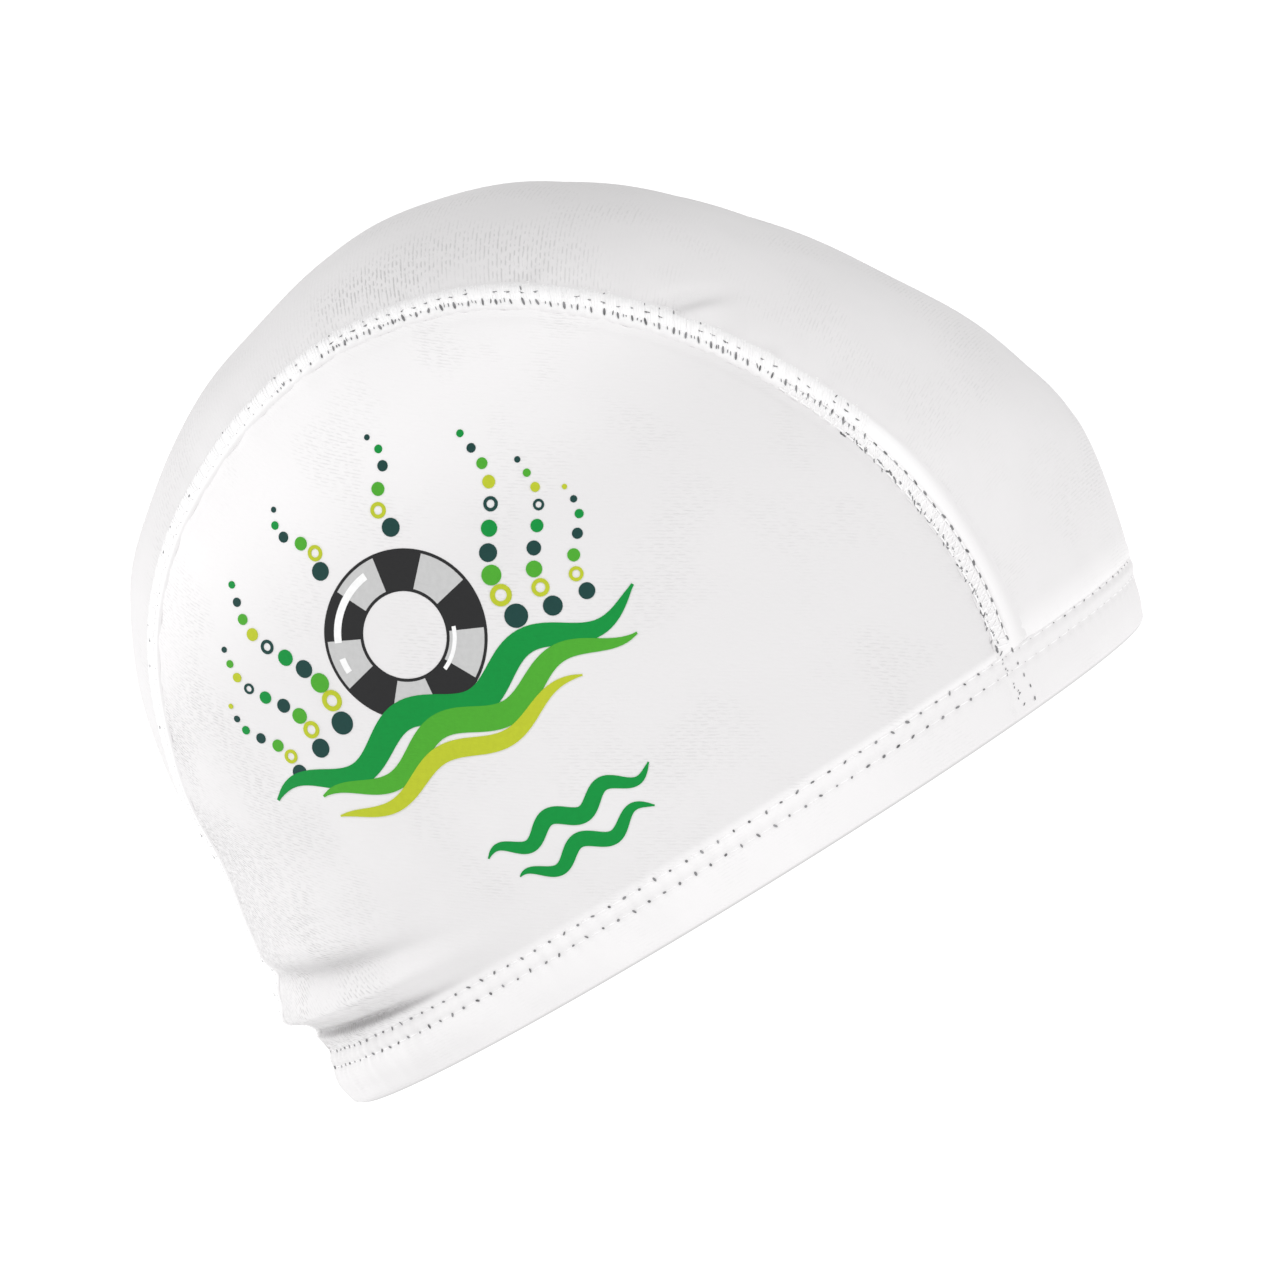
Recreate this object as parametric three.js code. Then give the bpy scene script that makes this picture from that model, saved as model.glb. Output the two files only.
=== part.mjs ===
// A three-panel swim cap of stretch knit, resting on its rim.
// Millimetres. +X points to the forehead, +Y to the wearer's left, +Z up from the rim.
import * as THREE from 'three';

// Overall sizes of the worn form
const CAP_LENGTH = 200; // forehead to back of the head, at the widest level
const CAP_WIDTH = 153; // ear to ear, at the widest level
const CAP_HEIGHT = 150; // rim to crown
const WIDE_LEVEL = 41; // height of the widest level above the rim
const CROWN_SET_BACK = 4.5; // how far the crown lies behind the middle
const FRONT_TUCK = 10; // how far the rim draws in from the widest level
const BACK_TUCK = 0.8;
const SIDE_TUCK = 5.7;
const TUCK_CURVE = 1.6; // power by which the draw-in grows towards the rim

// Cloth
const PANEL_WALL = 1.2;
const HEM_HEIGHT = 13;
const HEM_WALL = 2.4;
const SEAM_WIDTH = 5.6;
const SEAM_PROUD = 0.35; // how far a seam stands off the panels, outside and inside
const CLEARANCE = 0.3; // between neighbouring pieces

// How each quarter of the outline departs from an ellipse: the swell is a share of the radius,
// the skew moves its peak down towards the widest level, and the sharpness narrows it.
const OUTLINE = {
  front: { swell: -0.075, skew: 0.79, sharpness: 2 },
  back: { swell: 0.056, skew: 0.81, sharpness: 4 },
  side: { swell: 0.046, skew: 1, sharpness: 2 },
};

// The seam's course: climb is the angle from the forehead over the crown to the nape,
// spread the angle that the seam lies off the middle, both in degrees, seen from the rim's centre.
const SEAM_COURSE = [
  { climb: 0, spread: 35.5 },
  { climb: 35, spread: 30.5 },
  { climb: 60, spread: 26 },
  { climb: 90, spread: 21 },
  { climb: 120, spread: 17 },
  { climb: 145, spread: 14 },
  { climb: 162, spread: 11 },
  { climb: 180, spread: 8 },
];

// Folds where the hem gathers the cloth at the nape. Levels, spread and depth are shares of the
// hem's height, depth outward positive, and reach is the angle from the nape where a fold ends.
const NAPE_FOLDS = [
  { name: 'roll over the hem', napeLevel: 1.75, endLevel: 1.35, spread: 0.42, depth: 0.22, reach: 70 },
  { name: 'crease on the hem', napeLevel: 1.12, endLevel: 1.0, spread: 0.3, depth: -0.17, reach: 66 },
  { name: 'upper crease', napeLevel: 2.45, endLevel: 1.85, spread: 0.28, depth: -0.13, reach: 54 },
];

// The hem's section: level is a share of its height, depth a share of its wall, outside first.
const HEM_SECTION = [
  { level: 0.06, depth: 0 },
  { level: 0.36, depth: 0 },
  { level: 0.68, depth: 0 },
  { level: 1, depth: 0 },
  { level: 1, depth: 1 },
  { level: 0.53, depth: 1 },
  { level: 0.06, depth: 1 },
  { level: 0, depth: 0.8 },
  { level: 0, depth: 0.2 },
];

// The seam's section: across is a share of its half width, and lift is 1 on its outer face,
// 0 on the panels' outer face and -1 on its inner face.
const SEAM_SECTION = [
  { across: -1, lift: 0 },
  { across: -0.7, lift: 1 },
  { across: 0.7, lift: 1 },
  { across: 1, lift: 0 },
  { across: 1, lift: -1 },
  { across: -1, lift: -1 },
];

// Mesh steps
const CENTRE_ROWS = 46;
const CENTRE_COLUMNS = 12;
const SIDE_COLUMNS = 34;
const SIDE_ROWS = 15;
const SEAM_STEPS = 60;
const HEM_STEPS = 80;
const HALVINGS = 40; // of a search interval
const PROBE = 1e-3; // step for slopes

const HALF_TURN = Math.PI;
const QUARTER_TURN = Math.PI / 2;
const radians = THREE.MathUtils.degToRad;

const HALF_WIDTH = CAP_WIDTH / 2;
const CROWN_X = -CROWN_SET_BACK;
const REACH = { front: CAP_LENGTH / 2 + CROWN_SET_BACK, back: CAP_LENGTH / 2 - CROWN_SET_BACK };
const TUCK = { front: FRONT_TUCK / REACH.front, back: BACK_TUCK / REACH.back, side: SIDE_TUCK / HALF_WIDTH };
const PANEL_FOOT = HEM_HEIGHT + CLEARANCE; // level where the panels and seams begin
const PANEL_SET_OFF = SEAM_WIDTH / 2 + CLEARANCE; // from a seam's middle to a panel's edge

// Where a rising function passes zero between two values
function crossing(low, high, height) {
  for (let step = 0; step < HALVINGS; step += 1) {
    const middle = (low + high) / 2;
    if (height(middle) < 0) low = middle;
    else high = middle;
  }
  return (low + high) / 2;
}

function swell(quarter, rise) {
  const { swell: amount, skew, sharpness } = OUTLINE[quarter];
  return amount * Math.sin(HALF_TURN * rise ** skew) ** sharpness;
}

// How far out a point lies: 1 on the smooth outer skin, less inside it
function fill(x, y, z) {
  const end = x > CROWN_X ? 'front' : 'back';
  const along = (x - CROWN_X) / REACH[end];
  const aside = y / HALF_WIDTH;
  const plan = Math.max(Math.hypot(along, aside), PROBE * PROBE);
  const lengthwise = (along / plan) ** 2;
  const above = (z - WIDE_LEVEL) / (CAP_HEIGHT - WIDE_LEVEL);
  if (above > 0) {
    const rise = Math.atan2(above, plan) / QUARTER_TURN;
    const stretch = 1 + lengthwise * swell(end, rise) + (1 - lengthwise) * swell('side', rise);
    return Math.hypot(plan, above) / stretch;
  }
  const drawIn = lengthwise * TUCK[end] + (1 - lengthwise) * TUCK.side;
  return plan / (1 - drawIn * (1 - z / WIDE_LEVEL) ** TUCK_CURVE);
}

// The horizontal direction in which the skin faces
function planNormal(x, y, z) {
  const slopeX = fill(x + PROBE, y, z) - fill(x - PROBE, y, z);
  const slopeY = fill(x, y + PROBE, z) - fill(x, y - PROBE, z);
  return new THREE.Vector3(slopeX, slopeY, 0).normalize();
}

// How far the nape's folds move the skin outwards
function foldDepth(x, y, z) {
  const turn = THREE.MathUtils.radToDeg(Math.abs(Math.atan2(y, CROWN_X - x)));
  let depth = 0;
  for (const fold of NAPE_FOLDS) {
    if (turn >= fold.reach) continue;
    const share = turn / fold.reach;
    const level = HEM_HEIGHT * THREE.MathUtils.lerp(fold.napeLevel, fold.endLevel, share);
    const off = (z - level) / (HEM_HEIGHT * fold.spread);
    depth += HEM_HEIGHT * fold.depth * Math.cos(share * QUARTER_TURN) * Math.exp(-off * off);
  }
  return depth;
}

function folded(x, y, z) {
  const point = new THREE.Vector3(x, y, z);
  const depth = foldDepth(x, y, z);
  return Math.abs(depth) < PROBE ? point : point.addScaledVector(planNormal(x, y, z), depth);
}

// The outer skin in a direction from the rim's centre
function skin(direction) {
  const { x, y, z } = direction.clone().normalize();
  const distance = crossing(0, CAP_LENGTH, (d) => fill(x * d, y * d, z * d) - 1);
  return folded(x * distance, y * distance, z * distance);
}

// The outer skin at a level, in a horizontal direction from the middle
function skinAtLevel(turn, level) {
  const x = Math.cos(turn);
  const y = Math.sin(turn);
  const distance = crossing(0, CAP_LENGTH, (d) => fill(x * d, y * d, level) - 1);
  return folded(x * distance, y * distance, level);
}

// The direction that climbs from the forehead and lies off the middle by the spread
function heading(climb, spread) {
  const { cos, sin } = Math;
  return new THREE.Vector3(cos(spread) * cos(climb), sin(spread), cos(spread) * sin(climb));
}

// A point of the skin moved along the way that the skin faces there
function lifted(direction, lift) {
  const sideways = new THREE.Vector3(-direction.z, 0, direction.x).normalize();
  const upwards = new THREE.Vector3().crossVectors(direction, sideways).normalize();
  const point = skin(direction);
  const slopes = [sideways, upwards].map((way) =>
    skin(direction.clone().addScaledVector(way, PROBE)).sub(skin(direction.clone().addScaledVector(way, -PROBE))));
  const normal = slopes[0].cross(slopes[1]).normalize();
  if (normal.dot(point) < 0) normal.negate();
  return point.addScaledVector(normal, lift);
}

const course = new THREE.CubicInterpolant(
  SEAM_COURSE.map((row) => radians(row.climb)), SEAM_COURSE.map((row) => radians(row.spread)), 1);

function seamSpread(climb) {
  return course.evaluate(THREE.MathUtils.clamp(climb, 0, HALF_TURN))[0];
}

// The spread of a line that runs beside the seam, off it by a length measured on the skin
function besideSeam(climb, length) {
  const spread = seamSpread(climb);
  const here = skin(heading(climb, spread));
  const along = skin(heading(climb + PROBE, seamSpread(climb + PROBE))).sub(here);
  const across = skin(heading(climb, spread + PROBE)).sub(here);
  const width = across.clone().cross(along).length() / along.length();
  return spread + (length * PROBE) / width;
}

// The climbs at which a line over the head leaves the front hem and meets the hem at the nape
function hemCrossings(spreadAt) {
  const height = (climb) => skin(heading(climb, spreadAt(climb))).z - PANEL_FOOT;
  return {
    front: crossing(PROBE, QUARTER_TURN, height),
    nape: HALF_TURN - crossing(PROBE, QUARTER_TURN, (climb) => height(HALF_TURN - climb)),
  };
}

// Collects the triangles of one closed body, and joins points that fall together
class Body {
  constructor() {
    this.positions = [];
    this.faces = [];
    this.known = new Map();
  }

  corner(point) {
    const key = [point.x, point.y, point.z].map((value) => Math.round(value / PROBE)).join(' ');
    if (!this.known.has(key)) {
      this.known.set(key, this.positions.length / 3);
      this.positions.push(point.x, point.y, point.z);
    }
    return this.known.get(key);
  }

  triangle(a, b, c) {
    if (a !== b && b !== c && c !== a) this.faces.push(a, b, c);
  }

  quad(a, b, c, d) {
    this.triangle(a, b, c);
    this.triangle(a, c, d);
  }

  mesh(name, material) {
    const geometry = new THREE.BufferGeometry();
    geometry.setAttribute('position', new THREE.Float32BufferAttribute(this.positions, 3));
    geometry.setIndex(this.faces);
    geometry.computeVertexNormals();
    const mesh = new THREE.Mesh(geometry, material);
    mesh.name = name;
    return mesh;
  }
}

// A cloth wall between two grids of points that face outwards row by row
function wallBody(outside, inside) {
  const body = new Body();
  const out = outside.map((row) => row.map((point) => body.corner(point)));
  const back = inside.map((row) => row.map((point) => body.corner(point)));
  const lastRow = out.length - 1;
  const lastColumn = out[0].length - 1;
  for (let i = 0; i < lastRow; i += 1) {
    for (let j = 0; j < lastColumn; j += 1) {
      body.quad(out[i][j], out[i + 1][j], out[i + 1][j + 1], out[i][j + 1]);
      body.quad(back[i][j], back[i][j + 1], back[i + 1][j + 1], back[i + 1][j]);
    }
  }
  for (let i = 0; i < lastRow; i += 1) {
    body.quad(out[i][0], back[i][0], back[i + 1][0], out[i + 1][0]);
    body.quad(out[i][lastColumn], out[i + 1][lastColumn], back[i + 1][lastColumn], back[i][lastColumn]);
  }
  for (let j = 0; j < lastColumn; j += 1) {
    body.quad(out[0][j], out[0][j + 1], back[0][j + 1], back[0][j]);
    body.quad(out[lastRow][j], back[lastRow][j], back[lastRow][j + 1], out[lastRow][j + 1]);
  }
  return body;
}

// A body swept through sections of equal count, closed round into a ring or capped at its ends
function sweptBody(sections, ring) {
  const body = new Body();
  const loops = sections.map((section) => section.map((point) => body.corner(point)));
  const spans = ring ? loops.length : loops.length - 1;
  const count = loops[0].length;
  for (let i = 0; i < spans; i += 1) {
    const here = loops[i];
    const next = loops[(i + 1) % loops.length];
    for (let j = 0; j < count; j += 1) {
      const k = (j + 1) % count;
      body.quad(here[j], next[j], next[k], here[k]);
    }
  }
  if (!ring) {
    const first = loops[0];
    const last = loops[loops.length - 1];
    for (let j = 1; j < count - 1; j += 1) {
      body.triangle(first[0], first[j], first[j + 1]);
      body.triangle(last[0], last[j + 1], last[j]);
    }
  }
  return body;
}

// The faces of a body whose pieces were all wound inwards are turned round
function facingOut(body) {
  let volume = 0;
  const point = (index) => new THREE.Vector3().fromArray(body.positions, 3 * index);
  for (let i = 0; i < body.faces.length; i += 3) {
    const [a, b, c] = body.faces.slice(i, i + 3).map(point);
    volume += a.dot(b.cross(c));
  }
  if (volume < 0) body.faces.reverse();
  return body;
}

function steps(count) {
  return Array.from({ length: count + 1 }, (_, index) => index / count);
}

// Steps from 0 to 1 that crowd towards 1, where the nape's folds lie
function crowdedSteps(count) {
  return steps(count).map((share) => 1 - (1 - share) * (1 - 0.35 * share ** 3));
}

function clothWall(directions) {
  const outside = directions.map((row) => row.map((direction) => lifted(direction, 0)));
  const inside = directions.map((row) => row.map((direction) => lifted(direction, -PANEL_WALL)));
  return facingOut(wallBody(outside, inside));
}

function centrePanel(material) {
  const directions = steps(CENTRE_COLUMNS).map((column) => {
    const share = 2 * column - 1;
    const spreadAt = (climb) => share * besideSeam(climb, -PANEL_SET_OFF);
    const { front, nape } = hemCrossings(spreadAt);
    return crowdedSteps(CENTRE_ROWS).map((row) => {
      const climb = THREE.MathUtils.lerp(front, nape, row);
      return heading(climb, spreadAt(climb));
    });
  });
  return clothWall(directions).mesh('centre_panel', material);
}

// A side panel's directions lie in a flat map: the distance from the map's middle is the angle
// from the ear's side of the rim, and the way from it is the climb.
function fromMap(forward, upward, side) {
  const fromEar = Math.hypot(forward, upward);
  return heading(Math.atan2(upward, forward), side * (QUARTER_TURN - fromEar));
}

function sidePanel(name, side, material) {
  const edge = (climb) => besideSeam(climb, PANEL_SET_OFF);
  const ends = hemCrossings(edge);
  const onMap = (climb) => {
    const fromEar = QUARTER_TURN - edge(climb);
    return { forward: fromEar * Math.cos(climb), upward: fromEar * Math.sin(climb) };
  };
  const frontFoot = onMap(ends.front);
  const napeFoot = onMap(ends.nape);
  const directions = steps(SIDE_COLUMNS).map((column) => {
    const top = onMap(THREE.MathUtils.lerp(ends.front, ends.nape, column));
    const forward = THREE.MathUtils.lerp(frontFoot.forward, napeFoot.forward, (1 - Math.cos(HALF_TURN * column)) / 2);
    const height = (upward) => skin(fromMap(forward, upward, side)).z - PANEL_FOOT;
    const isFoot = column === 0 || column === 1;
    const bottom = isFoot ? top : { forward, upward: crossing(0, QUARTER_TURN / 2, height) };
    return steps(SIDE_ROWS).map((row) => fromMap(
      THREE.MathUtils.lerp(bottom.forward, top.forward, row),
      THREE.MathUtils.lerp(bottom.upward, top.upward, row), side));
  });
  return clothWall(directions).mesh(name, material);
}

function seam(name, side, material) {
  const lines = SEAM_SECTION.map(({ across, lift }) => {
    const spreadAt = (climb) => side * besideSeam(climb, (across * SEAM_WIDTH) / 2);
    const { front, nape } = hemCrossings(spreadAt);
    const height = lift < 0 ? -(PANEL_WALL + SEAM_PROUD) : lift * SEAM_PROUD;
    return crowdedSteps(SEAM_STEPS).map((share) => {
      const climb = THREE.MathUtils.lerp(front, nape, share);
      return lifted(heading(climb, spreadAt(climb)), height);
    });
  });
  const sections = lines[0].map((_, index) => lines.map((line) => line[index]));
  return facingOut(sweptBody(sections, false)).mesh(name, material);
}

function hem(material) {
  const sections = steps(HEM_STEPS).slice(0, -1).map((share) =>
    HEM_SECTION.map(({ level, depth }) => {
      const point = skinAtLevel(2 * HALF_TURN * share, level * HEM_HEIGHT);
      return point.addScaledVector(planNormal(point.x, point.y, point.z), -depth * HEM_WALL);
    }));
  return facingOut(sweptBody(sections, true)).mesh('hem', material);
}

function cloth(color, roughness) {
  return new THREE.MeshStandardMaterial({ color, roughness, metalness: 0 });
}

const panelCloth = cloth(0xf2f3f3, 0.85);
const centreCloth = cloth(0xeeeeec, 0.85);
const seamThread = cloth(0xf8f8f7, 0.8);
const hemCloth = cloth(0xfafafa, 0.8);

const RIGHT = -1; // the wearer's right lies along -Y
const LEFT = 1;

const cap = new THREE.Group();
cap.add(
  centrePanel(centreCloth),
  sidePanel('side_panel_right', RIGHT, panelCloth),
  sidePanel('side_panel_left', LEFT, panelCloth),
  seam('seam_right', RIGHT, seamThread),
  seam('seam_left', LEFT, seamThread),
  hem(hemCloth),
);

// The origin is the middle of the footprint, on the rim
const box = new THREE.Box3().setFromObject(cap);
cap.position.x = -(box.min.x + box.max.x) / 2;

export default cap;
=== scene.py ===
"""A three-panel swim cap of stretch knit, dressed over its fixed frame. Metres, +X to the forehead, +Z up."""

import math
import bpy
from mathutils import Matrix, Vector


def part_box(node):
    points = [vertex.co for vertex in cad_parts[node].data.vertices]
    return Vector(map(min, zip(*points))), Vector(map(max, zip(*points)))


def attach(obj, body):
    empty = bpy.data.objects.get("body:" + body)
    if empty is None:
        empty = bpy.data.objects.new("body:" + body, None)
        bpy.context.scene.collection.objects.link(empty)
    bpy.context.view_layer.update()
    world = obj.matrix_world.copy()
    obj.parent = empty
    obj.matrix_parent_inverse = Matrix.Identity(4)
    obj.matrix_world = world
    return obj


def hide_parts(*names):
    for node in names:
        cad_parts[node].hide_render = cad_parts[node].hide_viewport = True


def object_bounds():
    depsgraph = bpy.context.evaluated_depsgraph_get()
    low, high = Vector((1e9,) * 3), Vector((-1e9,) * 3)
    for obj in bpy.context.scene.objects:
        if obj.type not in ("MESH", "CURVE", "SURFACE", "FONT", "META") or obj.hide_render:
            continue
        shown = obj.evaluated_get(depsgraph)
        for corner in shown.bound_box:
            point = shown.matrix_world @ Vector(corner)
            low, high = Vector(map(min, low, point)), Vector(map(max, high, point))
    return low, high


bl_info = {
    "name": "Swim Cap",
    "version": (1, 0, 0),
    "blender": (4, 5, 0),
    "location": "View3D > Sidebar > Swim Cap",
    "description": "Sews the panels, seams, hem and print of a knit swim cap over its frame",
    "category": "Object",
}

import bpy
import numpy as np
from bpy.props import FloatProperty, FloatVectorProperty, PointerProperty
from mathutils import Matrix, Vector

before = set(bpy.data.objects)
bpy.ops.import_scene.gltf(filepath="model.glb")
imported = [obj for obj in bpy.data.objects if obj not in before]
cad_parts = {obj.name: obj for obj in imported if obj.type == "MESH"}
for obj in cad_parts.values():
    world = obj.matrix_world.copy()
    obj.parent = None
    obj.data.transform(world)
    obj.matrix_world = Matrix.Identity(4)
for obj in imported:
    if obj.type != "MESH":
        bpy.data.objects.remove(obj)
CAD_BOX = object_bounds()
HEM_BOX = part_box("hem")

MM = 0.001
TINY = 1e-6
HALF_TURN = math.pi
QUARTER_TURN = math.pi / 2
SIDES = {"right": -1, "left": 1}

# How each quarter of the outline departs from an ellipse: swell, skew and sharpness.
OUTLINE = {"front": (-0.075, 0.79, 2), "back": (0.056, 0.81, 4), "side": (0.046, 1.0, 2)}

# The seam's course in degrees: the climb over the head and the spread off the middle.
SEAM_COURSE = ((0, 35.5), (35, 30.5), (60, 26), (90, 21), (120, 17), (145, 14), (162, 11), (180, 8))

# Nape folds, in shares of the hem's height: level at the nape, level at the end, spread, depth,
# and the angle from the nape where the fold runs out.
NAPE_FOLDS = (
    (1.75, 1.35, 0.42, 0.22, 70),
    (1.12, 1.0, 0.3, -0.17, 66),
    (2.45, 1.85, 0.28, -0.13, 54),
)

# Finer folds of the cloth that the frame leaves out: level at the nape, level at the end, spread
# and depth as above, then the angle from the nape where the fold is deepest and its reach from there.
FINE_FOLDS = (
    (1.37, 1.06, 0.07, -0.15, 28, 19),
    (1.5, 1.2, 0.15, -0.1, 30, 17),
    (1.72, 1.4, 0.17, 0.12, 34, 17),
    (2.62, 1.56, 0.17, -0.14, 32, 17),
    (3.0, 2.0, 0.25, 0.05, 30, 20),
    (0.4, 0.4, 0.3, 0.08, 0, 40),
    (1.12, 1.05, 0.17, 0.045, 0, 26),
    (1.5, 1.35, 0.16, -0.2, 0, 26),
    (1.85, 1.6, 0.17, 0.045, 0, 26),
    (2.32, 1.9, 0.22, 0.195, 0, 24),
    (4.2, 4.2, 1.3, -0.13, 0, 60),
)
FOLD_TURN = 70

# Puckers of the crown strip by the seam, in millimetres: where each starts and ends, along the seam
# and away from it, then its width and depth.
PUCKERS = (
    (113.0, 5.2, 103.6, 14.6, 1.8, 1.25),
    (134.4, 5.4, 132.6, 11.5, 1.6, 0.4),
    (95.5, 4.8, 93.0, 8.5, 1.6, 0.35),
)

# Slow waves of the stretched cloth: waves per metre along and up, phase, and share of the swell.
SLOW_WAVES = ((14, 22, 0.3, 0.4), (27, -12, 1.9, 0.3), (9, 37, 4.1, 0.35), (41, 19, 2.6, 0.16))
# Small marks of the seam, dark bodies of painted shade, a row for each kind. The mark's place between
# two needle holes; how many of the holes have it, and how many fewer where the stitches are sunk; how
# far the seam is wrapped there at the least; its level above the high needle row; how far it strays
# along and up; whether it lies square to the seam; its least and greatest length and width; and how
# far it turns. The place is a share of a stitch, and the sizes are in millimetres.
SEAM_MARKS = (
    (0.42, 0.85, 0.85, 0.4, -0.3, (0.16, 0.15), 1, (0.6, 1.3), (0.16, 0.28), 0.15),
    (0.68, 0.45, 0.45, 0.4, -0.3, (0.16, 0.15), 1, (0.6, 1.3), (0.16, 0.28), 0.15),
    (0.0, 0.7, 0.5, 0.3, 1.5, (0.15, 0.15), 0, (0.6, 1.2), (0.22, 0.38), 0.25),
    (0.0, 0.4, 0.3, 0.5, 3.4, (0.2, 0.4), 1, (0.5, 1.3), (0.18, 0.3), 0.3),
)

# Ribs of each piece of knit, in millimetres: their pitch and their depth.
RIBS = {
    "crown": (0.62, 0.11),
    "side": (0.66, 0.19),
    "hem": (0.7, 0.06),
    "seam": (0.5, 0.08),
    "ink": (0.66, 0.1),
}
# Bands in a metre of Blender's wave texture at a scale of one.
BANDS_PER_METRE = 3.18

# The inks, from the lowest layer up.
INKS = ("pale_grey", "black", "highlight", "teal", "deep_green", "leaf_green", "lime")
BUBBLE_INKS = ("teal", "lime", "leaf_green", "teal", "deep_green")

# Waves of the print, in millimetres: ink, middle forward and up, swing, length and thickness, then
# how many waves there are and the angle at which the first one starts.
BIG_WAVES = (
    ("deep_green", 0, -8.5, 2.6, 86, 6.0, 3, 0.4),
    ("leaf_green", 3, -13.5, 2.3, 72, 5.0, 2.6, 1.2),
    ("lime", -3, -18.0, 1.9, 58, 3.6, 2.1, 2.0),
)
SMALL_WAVES = (
    ("deep_green", 0, 3.4, 1.5, 37, 3.4, 3, 0.3),
    ("deep_green", 0, -3.4, 1.5, 30, 3.0, 2.4, 0.9),
)

# Streams of bubbles, in millimetres: where each starts, the way it rises, how many bubbles it has,
# how far it bends and the radius of its first bubble.
STREAMS = (
    ((-21, -1), (-8, 34), 10, 2.2, 2.3),
    ((21, -1), (9, 35), 10, -2.2, 2.3),
    ((-28, -3), (-9, 26), 9, 1.8, 1.9),
    ((28, -3), (9, 27), 9, -1.8, 1.9),
    ((-35, -5), (-7, 18), 7, 1.4, 1.6),
    ((35, -4), (7, 19), 7, -1.4, 1.6),
    ((-9, 26), (-4, 15), 6, 1.6, 1.8),
    ((8, 26), (5, 17), 6, -1.6, 1.8),
)

# Lamps: turn from the cap's right side towards the forehead and rise, in degrees, and width in metres.
LAMPS = {"nape": (-108, 38, 1.1), "face": (60, 13, 1.0), "top": (-12, 60, 1.2)}
LAMP_DISTANCE = 2.4
LAMP_AIM = (0, 0, 0.08)


# Settings


def metres(name, default, description):
    return FloatProperty(name=name, description=description, default=default, unit="LENGTH")


def number(name, default, description):
    return FloatProperty(name=name, description=description, default=default)


def degrees(name, default, description):
    default = math.radians(default)
    return FloatProperty(name=name, description=description, default=default, subtype="ANGLE")


def cloth_cut(name, default, description):
    return FloatVectorProperty(
        name=name, description=description, size=2, default=default, unit="LENGTH"
    )


def dye(name, default, description):
    return FloatVectorProperty(name=name, description=description, default=default, subtype="COLOR")


class CapForm(bpy.types.PropertyGroup):
    """The form that a head gives the cap."""

    length: metres("Length", 0.2, "Forehead to back of the head")
    width: metres("Width", 0.153, "Ear to ear")
    height: metres("Height", 0.15, "Rim to crown")
    wide_level: metres("Widest level", 0.041, "Height of the widest level")
    crown_set_back: metres("Crown set-back", 0.0045, "How far the crown lies behind the middle")
    front_tuck: metres("Front tuck", 0.01, "Draw-in of the rim in front")
    back_tuck: metres("Back tuck", 0.0008, "Draw-in of the rim at the nape")
    side_tuck: metres("Side tuck", 0.0057, "Draw-in of the rim at the ears")
    tuck_curve: number("Tuck curve", 1.6, "Power by which the draw-in grows towards the rim")
    slow_swell: metres("Slow swell", 0.0004, "Height of the cloth's slow waves")


class CapSewing(bpy.types.PropertyGroup):
    """Cloth thickness, seams and stitches."""

    wall: metres("Knit", 0.0011, "Thickness of the knit")
    strip_cut: cloth_cut("Strip's cut", (0.105, 0.37), "Width and length before it is stretched")
    strip_fill: number("Strip's share", 0.77, "Cloth in the crown strip, as a share of its cut's box")
    side_cut: cloth_cut("Side's cut", (0.12, 0.18), "Height and length before it is stretched")
    side_fill: number("Side's share", 0.78, "Cloth in a side panel, as a share of its cut's box")
    hem_height: metres("Hem height", HEM_BOX[1][2], "Rim to the hem's upper stitches")
    hem_wall: metres("Hem thickness", 0.0024, "Thickness of the doubled hem")
    hem_row_drop: metres("Hem row drop", 0.0007, "Hem's top down to the upper stitch row")
    hem_row_gap: metres("Hem row gap", 0.0031, "Between the two stitch rows")
    hem_pitch: metres("Hem stitch", 0.00357, "Length of a hem stitch")
    seam_low: metres("Seam on the side", 0.0029, "How far the flat seam reaches over the side panel")
    seam_high: metres("Seam on the strip", 0.0054, "How far the flat seam reaches over the crown strip")
    seam_pitch: metres("Seam stitch", 0.00266, "Length of a seam stitch")
    low_row: metres("Low needle row", -0.0024, "Row on the side panel, from the seam's line")
    high_row: metres("High needle row", 0.0007, "Row on the crown strip, from the seam's line")
    wrap_start: metres("Wrap start", 0.062, "From the forehead to where stitches begin to wrap the seam")
    sunk_start: metres("Sunk start", 0.16, "From the forehead to where stitches begin to sink in")
    thread: metres("Thread", 0.00034, "Thickness of the thread")
    knit_colour: dye("Knit colour", (0.765, 0.753, 0.757), "Colour of the knit")
    hem_colour: dye("Hem colour", (0.85, 0.838, 0.842), "Colour of the doubled hem")
    thread_colour: dye("Thread colour", (0.92, 0.913, 0.916), "Colour of the thread")
    # Painted shade: the needle holes are small dark bodies, and this colour stands in for the shadow in them.
    hole_shade_colour: dye("Hole colour", (0.16, 0.16, 0.165), "Colour in the needle holes")


class CapPrint(bpy.types.PropertyGroup):
    """The print on the right side panel."""

    middle_x: metres("Middle along", -0.023, "Middle of the motif, forward")
    middle_z: metres("Middle up", 0.07, "Middle of the motif, above the rim")
    line_x: metres("Small waves along", -0.0137, "Middle of the small waves, forward")
    line_z: metres("Small waves up", 0.0284, "Middle of the small waves, above the rim")
    ink: metres("Ink", 0.00005, "How far the ink stands off the knit")
    highlight: dye("Highlight", (0.9, 0.9, 0.9), "White ink")
    deep_green: dye("Deep green", (0.0, 0.264, 0.042), "Deep green ink")
    leaf_green: dye("Leaf green", (0.069, 0.376, 0.026), "Mid green ink")
    lime: dye("Lime", (0.479, 0.539, 0.025), "Lime ink")
    teal: dye("Teal", (0.008, 0.051, 0.045), "Dark teal ink")
    pale_grey: dye("Pale grey", (0.55, 0.55, 0.55), "Pale grey ink")
    black: dye("Black", (0.02, 0.02, 0.021), "Black ink")


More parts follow.
